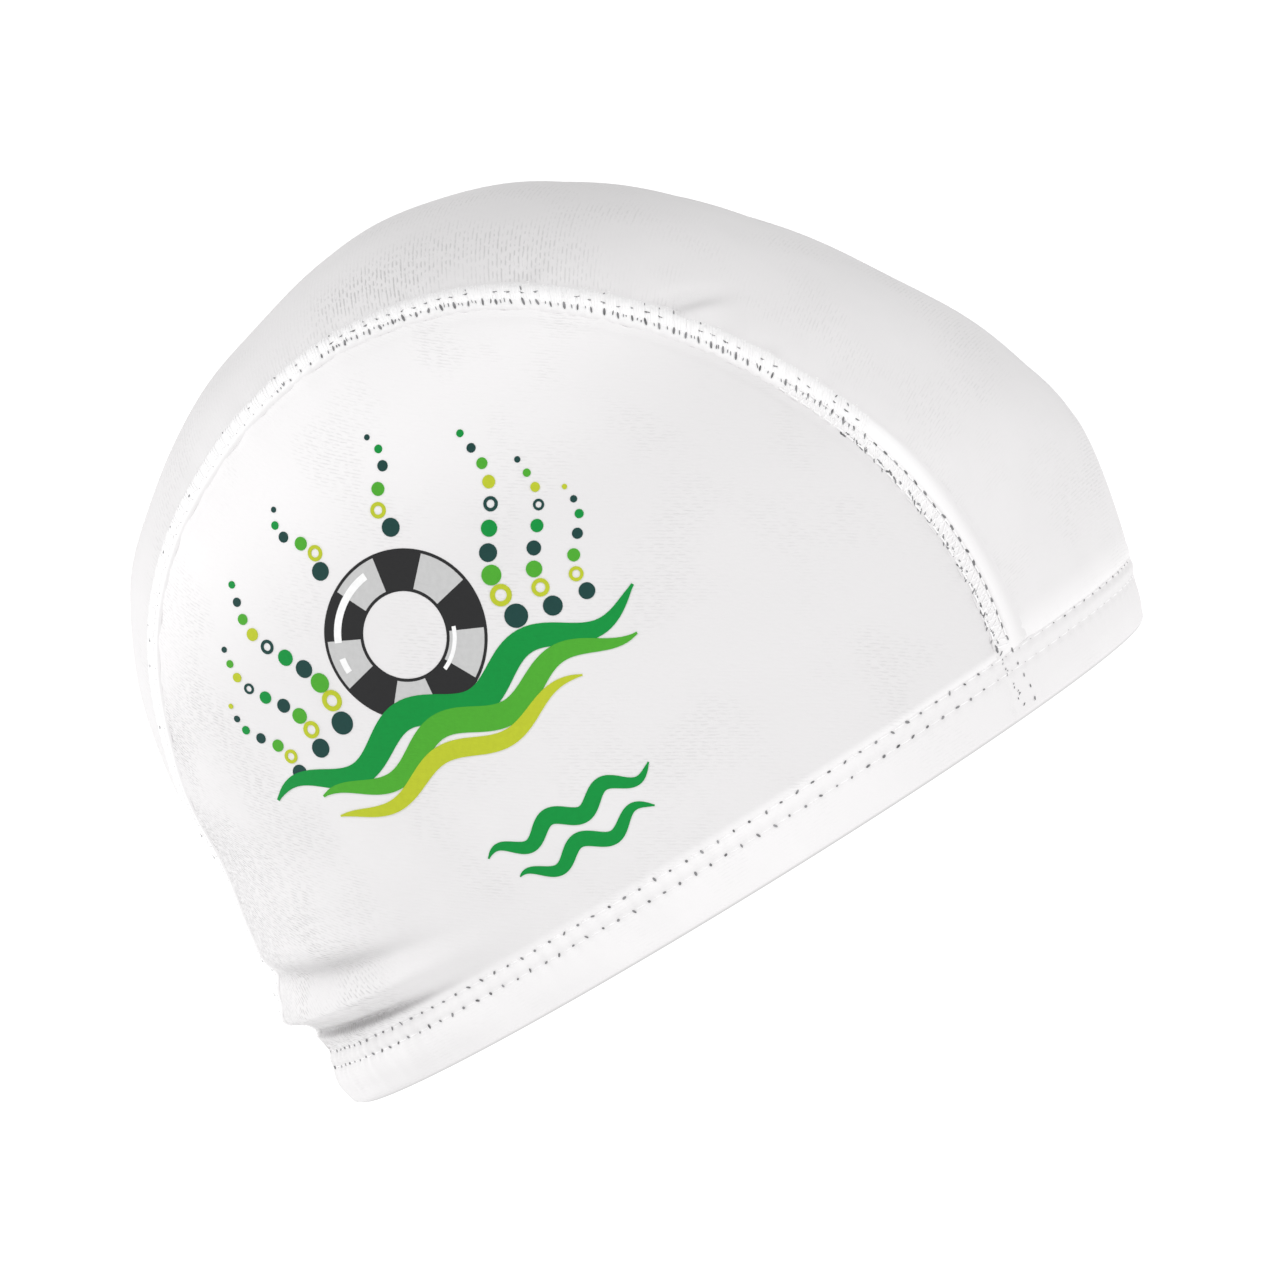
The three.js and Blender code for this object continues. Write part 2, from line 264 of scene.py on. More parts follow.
class CapStudio(bpy.types.PropertyGroup):
    """Camera, lights and the tent round the cap."""

    azimuth: degrees("Azimuth", 10.4, "Camera's turn from the right side towards the forehead")
    elevation: degrees("Elevation", 1.95, "Camera's rise")
    roll: degrees("Roll", 32.0, "Camera's roll")
    distance: metres("Distance", 1.058, "Camera to aim")
    lens: number("Lens", 147.1, "Focal length, millimetres")
    aim_x: metres("Aim along", 0.0017, "Aim point, forward")
    aim_z: metres("Aim up", 0.0515, "Aim point, above the rim")
    tent_radius: metres("Tent radius", 3.0, "Radius of the white tent")
    tent_height: metres("Tent height", 3.0, "Height of the tent's wall")
    tent_glow: number("Tent glow", 1.12, "Light given off by the floor")
    sky: number("Sky", 0.04, "Light from above the tent")
    nape_light: number("Nape light", 24.0, "Watts of the lamp behind")
    face_light: number("Face light", 10.5, "Watts of the lamp in front")
    top_light: number("Top light", 25.0, "Watts of the lamp above")


# Skin


class CapShape:
    """The outer skin of the cap, worked out for whole arrays of directions at once."""

    def __init__(self, scene):
        form = scene.swim_cap_form
        self.form = form
        self.sewing = scene.swim_cap_sewing
        self.half_width = form.width / 2
        self.reach = {
            "front": form.length / 2 + form.crown_set_back,
            "back": form.length / 2 - form.crown_set_back,
        }
        self.crown_x = CAD_BOX[1][0] - self.reach["front"]
        self.hem_height = self.sewing.hem_height
        climbs, spreads = np.radians(np.array(SEAM_COURSE, float)).T
        chords = np.diff(spreads) / np.diff(climbs)
        slopes = np.concatenate([chords[:1], (chords[1:] + chords[:-1]) / 2, chords[-1:]])
        self.course = climbs, spreads, slopes
        self.hem_line = HemLine(self)

    def swell(self, quarter, rise):
        amount, skew, sharpness = OUTLINE[quarter]
        return amount * np.sin(HALF_TURN * rise**skew) ** sharpness

    def fill(self, points):
        """How far out points lie: 1 on the smooth skin."""
        form = self.form
        x, y, z = points[..., 0] - self.crown_x, points[..., 1], points[..., 2]
        ahead = x > 0
        reach = np.where(ahead, self.reach["front"], self.reach["back"])
        along, aside = x / reach, y / self.half_width
        plan = np.maximum(np.hypot(along, aside), TINY)
        lengthwise = (along / plan) ** 2
        above = np.maximum((z - form.wide_level) / (form.height - form.wide_level), 0)
        rise = np.arctan2(above, plan) / QUARTER_TURN
        ends = np.where(ahead, self.swell("front", rise), self.swell("back", rise))
        stretch = 1 + lengthwise * ends + (1 - lengthwise) * self.swell("side", rise)
        tuck = np.where(ahead, form.front_tuck, form.back_tuck) / reach
        draw_in = lengthwise * tuck + (1 - lengthwise) * form.side_tuck / self.half_width
        drop = np.maximum(1 - z / form.wide_level, 0) ** form.tuck_curve
        return np.hypot(plan, above) / (stretch * (1 - draw_in * drop))

    def cast(self, start, ways):
        """Where rays from inside meet the smooth skin."""
        count = ways.shape[:-1]
        reach, _ = halved(
            np.zeros(count),
            np.full(count, self.form.length),
            34,
            lambda middle: self.fill(start + ways * middle[..., None]) < 1,
        )
        return start + ways * reach[..., None]

    def normals(self, points):
        slopes = [
            self.fill(points + TINY * 20 * axis) - self.fill(points - TINY * 20 * axis)
            for axis in np.eye(3)
        ]
        return unit(np.stack(slopes, -1))

    def fold_depth(self, points):
        turn = self.turn_from_nape(points)
        depth = np.zeros(turn.shape)
        for nape_level, end_level, spread, amount, reach in NAPE_FOLDS:
            share = np.minimum(turn / reach, 1)
            level = nape_level + (end_level - nape_level) * share
            off = points[..., 2] / self.hem_height - level
            depth += amount * np.cos(share * QUARTER_TURN) * bell(off, spread)
        for nape_level, end_level, spread, amount, peak, reach in FINE_FOLDS:
            level = nape_level + (end_level - nape_level) * np.minimum(turn / FOLD_TURN, 1)
            off = points[..., 2] / self.hem_height - level
            depth += amount * bell(turn - peak, reach) * bell(off, spread)
        return depth * self.hem_height

    def turn_from_nape(self, points):
        return np.degrees(np.abs(np.arctan2(points[..., 1], self.crown_x - points[..., 0])))

    def folded(self, points):
        """Moves points of the smooth skin outwards by the folds at the nape."""
        flat = self.normals(points) * (1, 1, 0)
        return points + unit(flat) * self.fold_depth(points)[..., None]

    def slow_waves(self, points):
        height = np.zeros(points.shape[:-1])
        side = np.sign(points[..., 1])
        for along, up, phase, share in SLOW_WAVES:
            turn = 2 * HALF_TURN * (along * points[..., 0] + up * points[..., 2])
            height += share * np.sin(turn + phase + side)
        return height * self.form.slow_swell

    def skin(self, directions):
        base = self.cast(np.zeros(3), unit(directions))
        return self.folded(base), self.normals(base)

    def skin_at_level(self, turns, levels):
        ways = np.stack([np.cos(turns), np.sin(turns), np.zeros_like(turns)], -1)
        start = np.stack([np.zeros_like(levels), np.zeros_like(levels), levels], -1)
        base = self.cast(start, ways)
        return self.folded(base), self.normals(base)

    def seam_spread(self, climb):
        climbs, spreads, slopes = self.course
        row = np.clip(np.searchsorted(climbs, climb, side="right") - 1, 0, len(climbs) - 2)
        span = climbs[row + 1] - climbs[row]
        p = np.clip((climb - climbs[row]) / span, 0, 1)
        start = spreads[row] * (1 + 2 * p) * (1 - p) ** 2 + slopes[row] * span * p * (1 - p) ** 2
        end = spreads[row + 1] * p * p * (3 - 2 * p) + slopes[row + 1] * span * p * p * (p - 1)
        return start + end

    def skin_width(self, climb):
        """Metres on the skin for each radian of spread, measured square to the seam."""
        spread = self.seam_spread(climb)
        step = 1e-4
        here = self.cast(np.zeros(3), heading(climb, spread))
        along = self.cast(np.zeros(3), heading(climb + step, self.seam_spread(climb + step))) - here
        across = self.cast(np.zeros(3), heading(climb, spread + step)) - here
        area = np.linalg.norm(np.cross(across, along), axis=-1)
        return area / np.linalg.norm(along, axis=-1) / step

    def beside_seam(self, climb, length):
        return self.seam_spread(climb) + length / self.skin_width(climb)

    def hem_crossings(self, spread_at, level):
        """The climbs at which lines over the head cross a level, in front and at the nape."""
        count = np.size(spread_at(np.array(QUARTER_TURN)))

        def search(to_climb):
            def under(middle):
                climb = to_climb(middle)
                return self.cast(np.zeros(3), heading(climb, spread_at(climb)))[..., 2] < level

            low, high = halved(np.zeros(count), np.full(count, QUARTER_TURN), 30, under)
            return to_climb((low + high) / 2)

        return search(lambda climb: climb), search(lambda climb: HALF_TURN - climb)


def unit(vectors):
    return vectors / np.maximum(np.linalg.norm(vectors, axis=-1, keepdims=True), 1e-12)


def heading(climb, spread):
    climb, spread = np.broadcast_arrays(climb, spread)
    return np.stack(
        [np.cos(spread) * np.cos(climb), np.sin(spread), np.cos(spread) * np.sin(climb)], -1
    )


def smooth_step(low, high, value):
    share = np.clip((value - low) / (high - low), 0, 1)
    return share * share * (3 - 2 * share)


def bell(off, spread):
    return np.exp(-((off / spread) ** 2))
def halved(low, high, rounds, under):
    """Halves spans again and again round the place where the test turns false."""
    for _ in range(rounds):
        middle = (low + high) / 2
        below = under(middle)
        low = np.where(below, middle, low)
        high = np.where(below, high, middle)
    return low, high


# Mesh helpers


def make_object(name, points, faces, uvs, material, smooth_angle=50):
    mesh = bpy.data.meshes.new(name)
    mesh.from_pydata(points.reshape(-1, 3).tolist(), [], faces)
    mesh.materials.append(material)
    mesh.polygons.foreach_set("use_smooth", np.ones(len(mesh.polygons), bool))
    if uvs is not None:
        layer = mesh.uv_layers.new(name="cloth")
        corner_points = np.empty(len(mesh.loops), np.int32)
        mesh.loops.foreach_get("vertex_index", corner_points)
        layer.data.foreach_set("uv", uvs.reshape(-1, 2)[corner_points].astype(np.float32).ravel())
    mesh.validate()
    mesh.set_sharp_from_angle(angle=math.radians(smooth_angle))
    thing = bpy.data.objects.new(name, mesh)
    bpy.context.scene.collection.objects.link(thing)
    return thing


def place(thing, node=None):
    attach(thing, "root")
    if node:
        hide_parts(node)


def place_parts(name, parts, material):
    """Joins many small parts, each with its points, faces and map, into one piece."""
    faces, start = [], 0
    for points, some_faces, _ in parts:
        faces.extend([[corner + start for corner in face] for face in some_faces])
        start += len(points)
    points, _, uvs = zip(*parts)
    uvs = None if uvs[0] is None else np.concatenate(uvs)
    place(make_object(name, np.concatenate(points), faces, uvs, material))


def grid_faces(rows, columns, start=0, ring=False, tube=False, flip=False):
    """Faces of a grid of points. A ring closes from its last row to its first, a tube by columns."""
    i = np.arange(rows if ring else rows - 1)
    j = np.arange(columns if tube else columns - 1)
    i, j = np.meshgrid(i, j, indexing="ij")
    k, m = (i + 1) % rows, (j + 1) % columns
    corners = [i * columns + j, k * columns + j, k * columns + m, i * columns + m]
    faces = np.stack([corner.ravel() for corner in corners], -1) + start
    return faces[:, ::-1] if flip else faces


def tube_faces(steps, sides, start=0, flip=False):
    """Faces of a tube that is closed at both ends."""
    first = list(range(start, start + sides))
    last = list(range(start + (steps - 1) * sides, start + steps * sides))
    faces = grid_faces(steps, sides, start, tube=True).tolist() + [first, last[::-1]]
    return [face[::-1] for face in faces] if flip else faces


def wall_parts(outside, inside, uvs, ring=False):
    """A closed cloth wall between two grids of the same shape; equal neighbours are welded. In a
    ring the first row is the last one too, so no wall stands between them."""
    rows, columns = outside.shape[:2]
    count = rows * columns
    index = np.arange(count).reshape(rows, columns)
    if ring:
        rim = np.concatenate([index[:-1, 0], index[:0:-1, -1]])
        after = np.concatenate([index[1:, 0], index[-2::-1, -1]])
    else:
        rim = np.concatenate([index[:-1, 0], index[-1, :-1], index[:0:-1, -1], index[0, :0:-1]])
        after = np.roll(rim, -1)
    edge = np.stack([rim, after, after + count, rim + count], -1)[:, ::-1]
    faces = [grid_faces(rows, columns), grid_faces(rows, columns, count, flip=True), edge]
    points = np.concatenate([outside.reshape(-1, 3), inside.reshape(-1, 3)])
    uvs = np.concatenate([uvs.reshape(-1, 2)] * 2)
    points, faces, uvs = weld(points, np.concatenate(faces), uvs)
    along, across = np.gradient(outside, axis=(0, 1))
    if (np.cross(along, across) * (outside - inside)).sum() < 0:
        faces = [face[::-1] for face in faces]
    return points, faces, uvs


def weld(points, faces, uvs=None):
    """Joins points that fall together and drops the faces that vanish."""
    keys = np.round(points / 1e-7).astype(np.int64)
    _, first, place_of = np.unique(keys, axis=0, return_index=True, return_inverse=True)
    kept = []
    for face in place_of.ravel()[faces].tolist():
        slim = [a for a, b in zip(face, face[1:] + face[:1]) if a != b]
        if len(slim) > 2:
            kept.append(slim)
    return points[first], kept, None if uvs is None else uvs[first]


def tube_parts(paths, radius, up, sides=6):
    """Many tubes at once: paths and up are (tube, step, 3)."""
    count, steps = paths.shape[:2]
    tangents = unit(np.gradient(paths, axis=1))
    across = unit(np.cross(tangents, up))
    lift = np.cross(across, tangents)
    angles = np.arange(sides) * 2 * HALF_TURN / sides
    ring = across[:, :, None] * np.cos(angles)[:, None] + lift[:, :, None] * np.sin(angles)[:, None]
    points = paths[:, :, None] + ring * radius
    faces = []
    for start in range(0, count * steps * sides, steps * sides):
        faces.extend(tube_faces(steps, sides, start))
    return points.reshape(-1, 3), faces, None


def lens_parts(rims, tops, bottoms):
    """Many small lens-shaped bodies at once, each a rim between a top and a bottom."""
    count, sides = rims.shape[:2]
    points = np.concatenate([rims, tops[:, None], bottoms[:, None]], 1)
    outward = np.cross(rims[0, 1] - rims[0, 0], rims[0, 2] - rims[0, 1])
    turned = outward @ (tops[0] - bottoms[0]) < 0
    faces = []
    for start in range(0, count * (sides + 2), sides + 2):
        for side in range(sides):
            here, after = start + side, start + (side + 1) % sides
            if turned:
                here, after = after, here
            faces.append([here, after, start + sides])
            faces.append([after, here, start + sides + 1])
    return points.reshape(-1, 3), faces, None


def oval(long, wide, angle, sides=9):
    """Offsets of many ovals' rims along and across a line, turned by an angle each."""
    turn = np.arange(sides) * 2 * HALF_TURN / sides
    a = long[:, None] / 2 * np.cos(turn)
    b = wide[:, None] / 2 * np.sin(turn)
    angle = angle[:, None]
    return a * np.cos(angle) - b * np.sin(angle), a * np.sin(angle) + b * np.cos(angle)
# Materials


def dimmed(colour, share):
    return [share * channel for channel in colour]


class Finish:
    """A material in the making. Its patterns lie on the cloth's map or in the cap's own space."""

    def __init__(self, name, colour, roughness, sheen=0.0):
        self.material = bpy.data.materials.new(name)
        self.material.use_nodes = True
        self.tree = self.material.node_tree
        self.shader = self.tree.nodes["Principled BSDF"]
        self.shader.inputs["Base Color"].default_value = (*colour, 1)
        self.shader.inputs["Roughness"].default_value = roughness
        self.shader.inputs["Specular IOR Level"].default_value = 0.25
        self.shader.inputs["Sheen Weight"].default_value = sheen
        self.shader.inputs["Sheen Roughness"].default_value = 0.5
        place_on = self.node("ShaderNodeTexCoord")
        self.cloth = place_on.outputs["UV"]
        self.cap = place_on.outputs["Object"]

    def node(self, kind, values=(), **settings):
        """A node whose sockets get a value each, or the socket that feeds them."""
        node = self.tree.nodes.new(kind)
        for key, value in settings.items():
            setattr(node, key, value)
        for key, value in dict(values).items():
            if isinstance(value, bpy.types.NodeSocket):
                self.tree.links.new(value, node.inputs[key])
            else:
                node.inputs[key].default_value = value
        return node

    def math(self, operation, *values):
        return self.node("ShaderNodeMath", enumerate(values), operation=operation).outputs[0]

    def axis(self, vector, name):
        return self.node("ShaderNodeSeparateXYZ", {0: vector}).outputs[name]

    def noise(self, vector, scale, detail, roughness=0.5):
        values = {"Vector": vector, "Scale": scale, "Detail": detail, "Roughness": roughness}
        return self.node("ShaderNodeTexNoise", values).outputs["Fac"]

    def faded(self, value, low, high):
        """A smooth ramp from nought at low to one at high."""
        values = {"Value": value, "From Min": low, "From Max": high}
        ramp = self.node("ShaderNodeMapRange", values, interpolation_type="SMOOTHSTEP")
        return ramp.outputs["Result"]

    def mixed(self, factor, first, second):
        """Two colours mixed by a factor: each is a colour or a socket."""
        values = {0: factor}
        for socket, tone in ((6, first), (7, second)):
            values[socket] = tone if isinstance(tone, bpy.types.NodeSocket) else (*tone, 1)
        return self.node("ShaderNodeMix", values, data_type="RGBA").outputs[2]

    def mottled(self, vector, colour, amount, scale):
        """Lets the colour wander a little, as dyed or bleached knit does."""
        ramp = self.node("ShaderNodeValToRGB", {"Fac": self.noise(vector, scale, 5.0, 0.6)})
        dark, light = ramp.color_ramp.elements
        dark.position, light.position = 0.3, 0.7
        dark.color = (*dimmed(colour, 1 - amount), 1)
        light.color = (*colour, 1)
        return ramp.outputs["Color"]

    def painted_crease_shade(self, tone, colour):
        """Painted shade: darkens the colour in the cloth's creases, where light passes from fold to fold."""
        reach = {"Distance": 7 * MM}
        nearness = self.node("ShaderNodeAmbientOcclusion", reach, samples=3, only_local=True)
        shut = self.math("SUBTRACT", 1.0, nearness.outputs["AO"])
        shade = self.math("MULTIPLY", self.faded(shut, 0.1, 0.65), 0.8)
        return self.mixed(shade, tone, dimmed(colour, 0.45))

    def bump(self, height, strength, depth):
        values = {"Height": height, "Strength": strength, "Distance": depth}
        normal = self.node("ShaderNodeBump", values).outputs["Normal"]
        self.tree.links.new(normal, self.shader.inputs["Normal"])

    def ribbed(self, piece, zone=None):
        """Broken ribs along one way of the cloth with its fuzz, stronger in patches. It gives back
        how open the gaps between the ribs are.

        The zone is the stretch of the cap where the ribs stand open: where it begins and where it is
        full, then where it begins to fade and where it ends, all in metres forward."""
        pitch, depth = (size * MM for size in RIBS[piece])
        bands = {
            "Vector": self.cloth,
            "Scale": 1 / pitch / BANDS_PER_METRE,
            "Distortion": 0.8,
            "Detail": 2.0,
            "Detail Scale": 1.2,
        }
        wave = self.node("ShaderNodeTexWave", bands, wave_type="BANDS", bands_direction="X")
        ribs = wave.outputs["Fac"]
        fuzz = self.noise(self.cloth, 2400.0, 2.0)
        patches = self.noise(self.cloth, 45.0, 3.0)
        drawn = {0: self.cloth, 1: (1.0, 0.33, 1.0)}
        drawn = self.node("ShaderNodeVectorMath", drawn, operation="MULTIPLY").outputs[0]
        whole = self.faded(self.noise(drawn, 1 / pitch, 1.0), 0.4, 0.6)
        height = self.math("MULTIPLY_ADD", fuzz, 0.6, self.math("MULTIPLY", ribs, whole))
        open_ribs = self.math("MULTIPLY", self.faded(patches, 0.46, 0.68), 0.3)
        if zone:
            start, full, fade, end = zone
            forward = self.axis(self.cap, "X")
            inside = self.faded(forward, start, full), self.faded(forward, end, fade)
            inside = self.math("MULTIPLY", self.math("MULTIPLY", *inside), self.faded(patches, 0.3, 0.55))
            off_middle = self.math("ABSOLUTE", self.axis(self.cloth, "Y"))
            by_edge = self.math("MULTIPLY_ADD", self.faded(off_middle, 26 * MM, 44 * MM), 0.75, 0.05)
            open_ribs = self.math("ADD", open_ribs, self.math("MULTIPLY", inside, by_edge))
        self.bump(height, self.math("MULTIPLY_ADD", open_ribs, 0.55, 0.1), depth)
        gap = self.faded(self.math("SUBTRACT", 1.0, ribs), 0.5, 0.95)
        return self.math("MULTIPLY", self.math("MULTIPLY", gap, whole), open_ribs)

    def coloured(self, tone):
        """The material, once its colour is worked out."""
        self.tree.links.new(tone, self.shader.inputs["Base Color"])
        return self.material


def knit_material(piece, colour, fades, zone=None, gap_shade=0.8, rim_shade=0.0):
    """Bleached knit. Each fade names an axis, where on it the cloth begins to turn to another colour
    and where it is full, the share of it there, and that colour. Gap shade is how dark the painted
    shade in the gaps between the ribs is; the creases get painted shade too, and the last argument is
    the height of the painted shade along the rim at the bottom of the map."""
    finish = Finish(f"{piece}_knit", colour, 0.82, 0.12)
    gaps = finish.ribbed(piece, zone)
    tone = finish.mottled(finish.cloth, colour, 0.03, 60.0)
    for axis, start, full, share, new_colour in fades:
        turn = finish.faded(finish.axis(finish.cap, axis), start, full)
        tone = finish.mixed(finish.math("MULTIPLY", turn, share), tone, new_colour)
    # Painted shade in the gaps between the ribs.
    tone = finish.mixed(finish.math("MULTIPLY", gaps, gap_shade), tone, dimmed(colour, 0.6))
    # Painted shade in the creases.
    tone = finish.painted_crease_shade(tone, colour)
    # Painted shade: the cloth darkens towards its rolled rim at the bottom of the map.
    if rim_shade:
        rim = finish.faded(finish.axis(finish.cloth, "X"), rim_shade, 0.0)
        tone = finish.mixed(rim, tone, dimmed(colour, 0.62))
    return finish.coloured(tone)


def band_material(sewing):
    """The seam's close stitches: white along the middle and the knit's colour at the edges."""
    finish = Finish("seam_knit", sewing.thread_colour, 0.82, 0.12)
    finish.ribbed("seam")
    tone = finish.mottled(finish.cloth, sewing.thread_colour, 0.03, 60.0)
    low, high = 1 - sewing.seam_low, 1 + sewing.seam_high
    up = finish.math("ADD", finish.axis(finish.cloth, "Y"), 1.0)
    knit = sewing.knit_colour
    ahead = finish.faded(finish.axis(finish.cloth, "X"), sewing.wrap_start, 0.5 * sewing.wrap_start)
    tone = finish.mixed(ahead, tone, sewing.hem_colour)
    tone = finish.mixed(finish.faded(up, low + 2.6 * MM, low + 0.1 * MM), tone, knit)
    tone = finish.mixed(finish.faded(up, high - 1.6 * MM, high - 0.1 * MM), tone, knit)
    soft = finish.faded(up, high - 4.2 * MM, high - 0.6 * MM)
    tone = finish.mixed(finish.math("MULTIPLY", ahead, soft), tone, knit)
    # Painted shade in the seam's creases.
    return finish.coloured(finish.painted_crease_shade(tone, knit))


def thread_material(name, colour):
    finish = Finish(name, colour, 0.6, 0.2)
    finish.bump(finish.noise(finish.cap, 1500.0, 2.0), 0.6, 0.04 * MM)
    return finish.coloured(finish.mottled(finish.cap, colour, 0.04, 300.0))


def hole_material(name, colour):
    """Painted shade in a needle hole's dark body, deeper in some holes than in others."""
    finish = Finish(name, colour, 1.0)
    pale = [min(1, channel) for channel in dimmed(colour, 2.2)]
    return finish.coloured(finish.mottled(finish.cap, pale, 0.75, 420.0))


def ink_material(name, colour):
    finish = Finish(name, colour, 0.75)
    finish.ribbed("ink")
    return finish.coloured(finish.mottled(finish.cloth, colour, 0.08, 900.0))


# Cloth panels


class HemLine:
    """The stitches of the hem, counted round the cap."""

    def __init__(self, shape):
        sewing = shape.sewing
        self.rows = [shape.hem_height - sewing.hem_row_drop]
        self.rows.append(self.rows[0] - sewing.hem_row_gap)
        self.turns = np.linspace(-HALF_TURN, HALF_TURN, 2401)
        ring, _ = shape.skin_at_level(self.turns, np.full(2401, sum(self.rows) / 2))
        steps = np.linalg.norm(np.diff(ring, axis=0), axis=1)
        self.lengths = np.concatenate([[0], np.cumsum(steps)])
        self.count = round(self.lengths[-1] / sewing.hem_pitch)

    def phase(self, points):
        """A whole turn for each stitch, with a needle hole at each whole turn."""
        turn = np.arctan2(points[..., 1], points[..., 0])
        around = np.interp(turn, self.turns, self.lengths)
        return 2 * HALF_TURN * self.count * around / self.lengths[-1]

    def turn_at(self, stitch):
        return np.interp(np.mod(stitch / self.count, 1) * self.lengths[-1], self.lengths, self.turns)

    def relief(self, points):
        """The stitch rows draw the cloth in, most at the holes, and it puffs up between them."""
        z = points[..., 2]
        phase = self.phase(points)
        beat = np.cos(phase)
        rows = bell(z - self.rows[0], 0.8 * MM) + bell(z - self.rows[1], 0.8 * MM)
        puff = bell(z - sum(self.rows) / 2, 1.2 * MM) + 0.5 * bell(z - self.rows[0] - 1.4 * MM, 1.1 * MM)
        near = bell(z - self.rows[0] - 1.3 * MM, 1.1 * MM) + bell(z - self.rows[1] + 1.2 * MM, 1.0 * MM)
        lift = -(0.2 + 0.11 * beat) * rows + (0.26 - 0.09 * beat) * puff - 0.06 * beat * near
        slow = 0.12 * np.sin(phase / 5 + np.sin(phase / 17)) * smooth_step(0, 5 * MM, z)
        slow = slow * smooth_step(self.rows[0] + 8 * MM, self.rows[0] + 1 * MM, z)
        return MM * (lift + slow + 0.14 * bell(z - 5 * MM, 3 * MM))


def panel_foot(shape, points):
    """A panel's foot: the hem's stitches, the gathers at the nape and the dive behind the hem."""
    z = points[..., 2]
    row = shape.hem_height - shape.sewing.hem_row_drop
    dive = -0.6 * MM * (1 - smooth_step(row - 0.5 * MM, row - 0.1 * MM, z))
    dive = dive - 0.03 * MM * (1 - smooth_step(row, row + 1.5 * MM, z))
    return shape.hem_line.relief(points) + dive + nape_gathers(shape, points)


def hem_foot(shape, fade):
    """Where a panel takes on the hem's colour, and that colour."""
    row = shape.hem_line.rows[0]
    return "Z", row + fade, row + 0.5 * MM, 1.0, shape.sewing.hem_colour


def seam_puckers(from_seam, along, seed):
    """Small ripples square to a seam, which die out a few millimetres from it."""
    ripple = np.sin(2 * HALF_TURN * along / (6.1 * MM) + seed)
    ripple += 0.7 * np.sin(2 * HALF_TURN * along / (9.7 * MM) + 2.1 * seed)
    ripple += 0.6 * np.sin(2 * HALF_TURN * along / (2.72 * MM))
    return 0.09 * MM * ripple * np.exp(-np.maximum(from_seam, 0) / (4.5 * MM))


def seam_creases(from_seam, along):
    """The few deeper puckers of the crown strip, each a small trough with a raised side."""
    height = np.zeros(along.shape)
    for start, start_off, end, end_off, width, depth in PUCKERS:
        way = np.array([end - start, end_off - start_off])
        length = np.hypot(*way)
        way = way / length
        ahead = along / MM - start, from_seam / MM - start_off
        share = (ahead[0] * way[0] + ahead[1] * way[1]) / length
        aside = (ahead[1] * way[0] - ahead[0] * way[1]) / width
        trough = np.exp(-(aside**2)) - 0.6 * np.exp(-((aside - 1.5) ** 2))
        height -= depth * trough * np.exp(-(((share - 0.4) / 0.5) ** 2))
    return height * MM


def nape_gathers(shape, points):
    """Upright ripples where the hem draws the cloth together at the nape."""
    turn = shape.turn_from_nape(points)
    near = np.cos(np.minimum(turn / 85, 1) * QUARTER_TURN)
    fade = np.exp(-np.maximum(points[..., 2] - shape.hem_height, 0) / (9 * MM))
    turns = shape.hem_line.phase(points)
    ripple = np.sin(turns / 2.03) + 0.6 * np.sin(turns / 1.23 + 1)
    return 0.07 * MM * ripple * near * fade


def fit_panel(shape, names, skin, lift, uvs, material):
    """Closes a panel's wall over the skin and gives it its place in the frame."""
    name, slot, node = names
    base, normal = skin
    slow = shape.slow_waves(base)
    lift = lift + panel_foot(shape, base) + slow
    outside = base + normal * lift[..., None]
    inside = base + normal * (slow - shape.sewing.wall)[..., None]
    panel = make_object(name, *wall_parts(outside, inside, uvs), material)
    place(panel, node)


def crown_panel(shape, material):
    sewing = shape.sewing
    rows, columns = 330, 92
    edge_share = np.linspace(-1, 1, columns)
    share = np.sign(edge_share) * np.abs(edge_share) ** 0.8
    foot = shape.hem_height - 1.2 * MM
    edge_off = -0.7 * MM

    def spread_at(climb):
        return share * shape.beside_seam(climb, edge_off)

    front, nape = shape.hem_crossings(spread_at, foot)
    step = np.linspace(0, 1, rows)[:, None]
    step = 1 - (1 - step) * (1 - 0.3 * step**3)
    climb = front + (nape - front) * step
    width = shape.skin_width(climb)
    seam = shape.seam_spread(climb)
    spread = share * (seam + edge_off / width)
    skin = shape.skin(heading(climb, spread))
    from_seam = (seam - np.abs(spread)) * width
    along = climb * shape.form.length / 2
    lift = seam_puckers(from_seam - sewing.seam_high, along, 1.0 + np.sign(spread))
    lift = lift - 0.12 * MM * bell(from_seam - sewing.seam_high - 0.3 * MM, 1.3 * MM)
    lift = lift + seam_creases(from_seam, along + 0 * from_seam)
    uvs = np.stack(np.broadcast_arrays(along + 0.08 * spread * width, spread * width), -1)
    names = "crown_strip", "crown_knit", "centre_panel"
    fit_panel(shape, names, skin, lift, uvs, material)


def from_map(forward, upward, side):
    from_ear = np.hypot(forward, upward)
    return heading(np.arctan2(upward, forward), side * (QUARTER_TURN - from_ear))


def cloth_map(points):
    """A side panel's map in metres: its ribs slope down towards the forehead."""
    ear_radius, slope = 97 * MM, math.radians(32)
    around = ear_radius * np.arctan2(points[..., 0], 1.3 * np.abs(points[..., 1]))
    up = points[..., 2]
    across_ribs = up * math.cos(slope) + around * math.sin(slope)
    along_ribs = around * math.cos(slope) - up * math.sin(slope)
    return np.stack([across_ribs, along_ribs], -1)


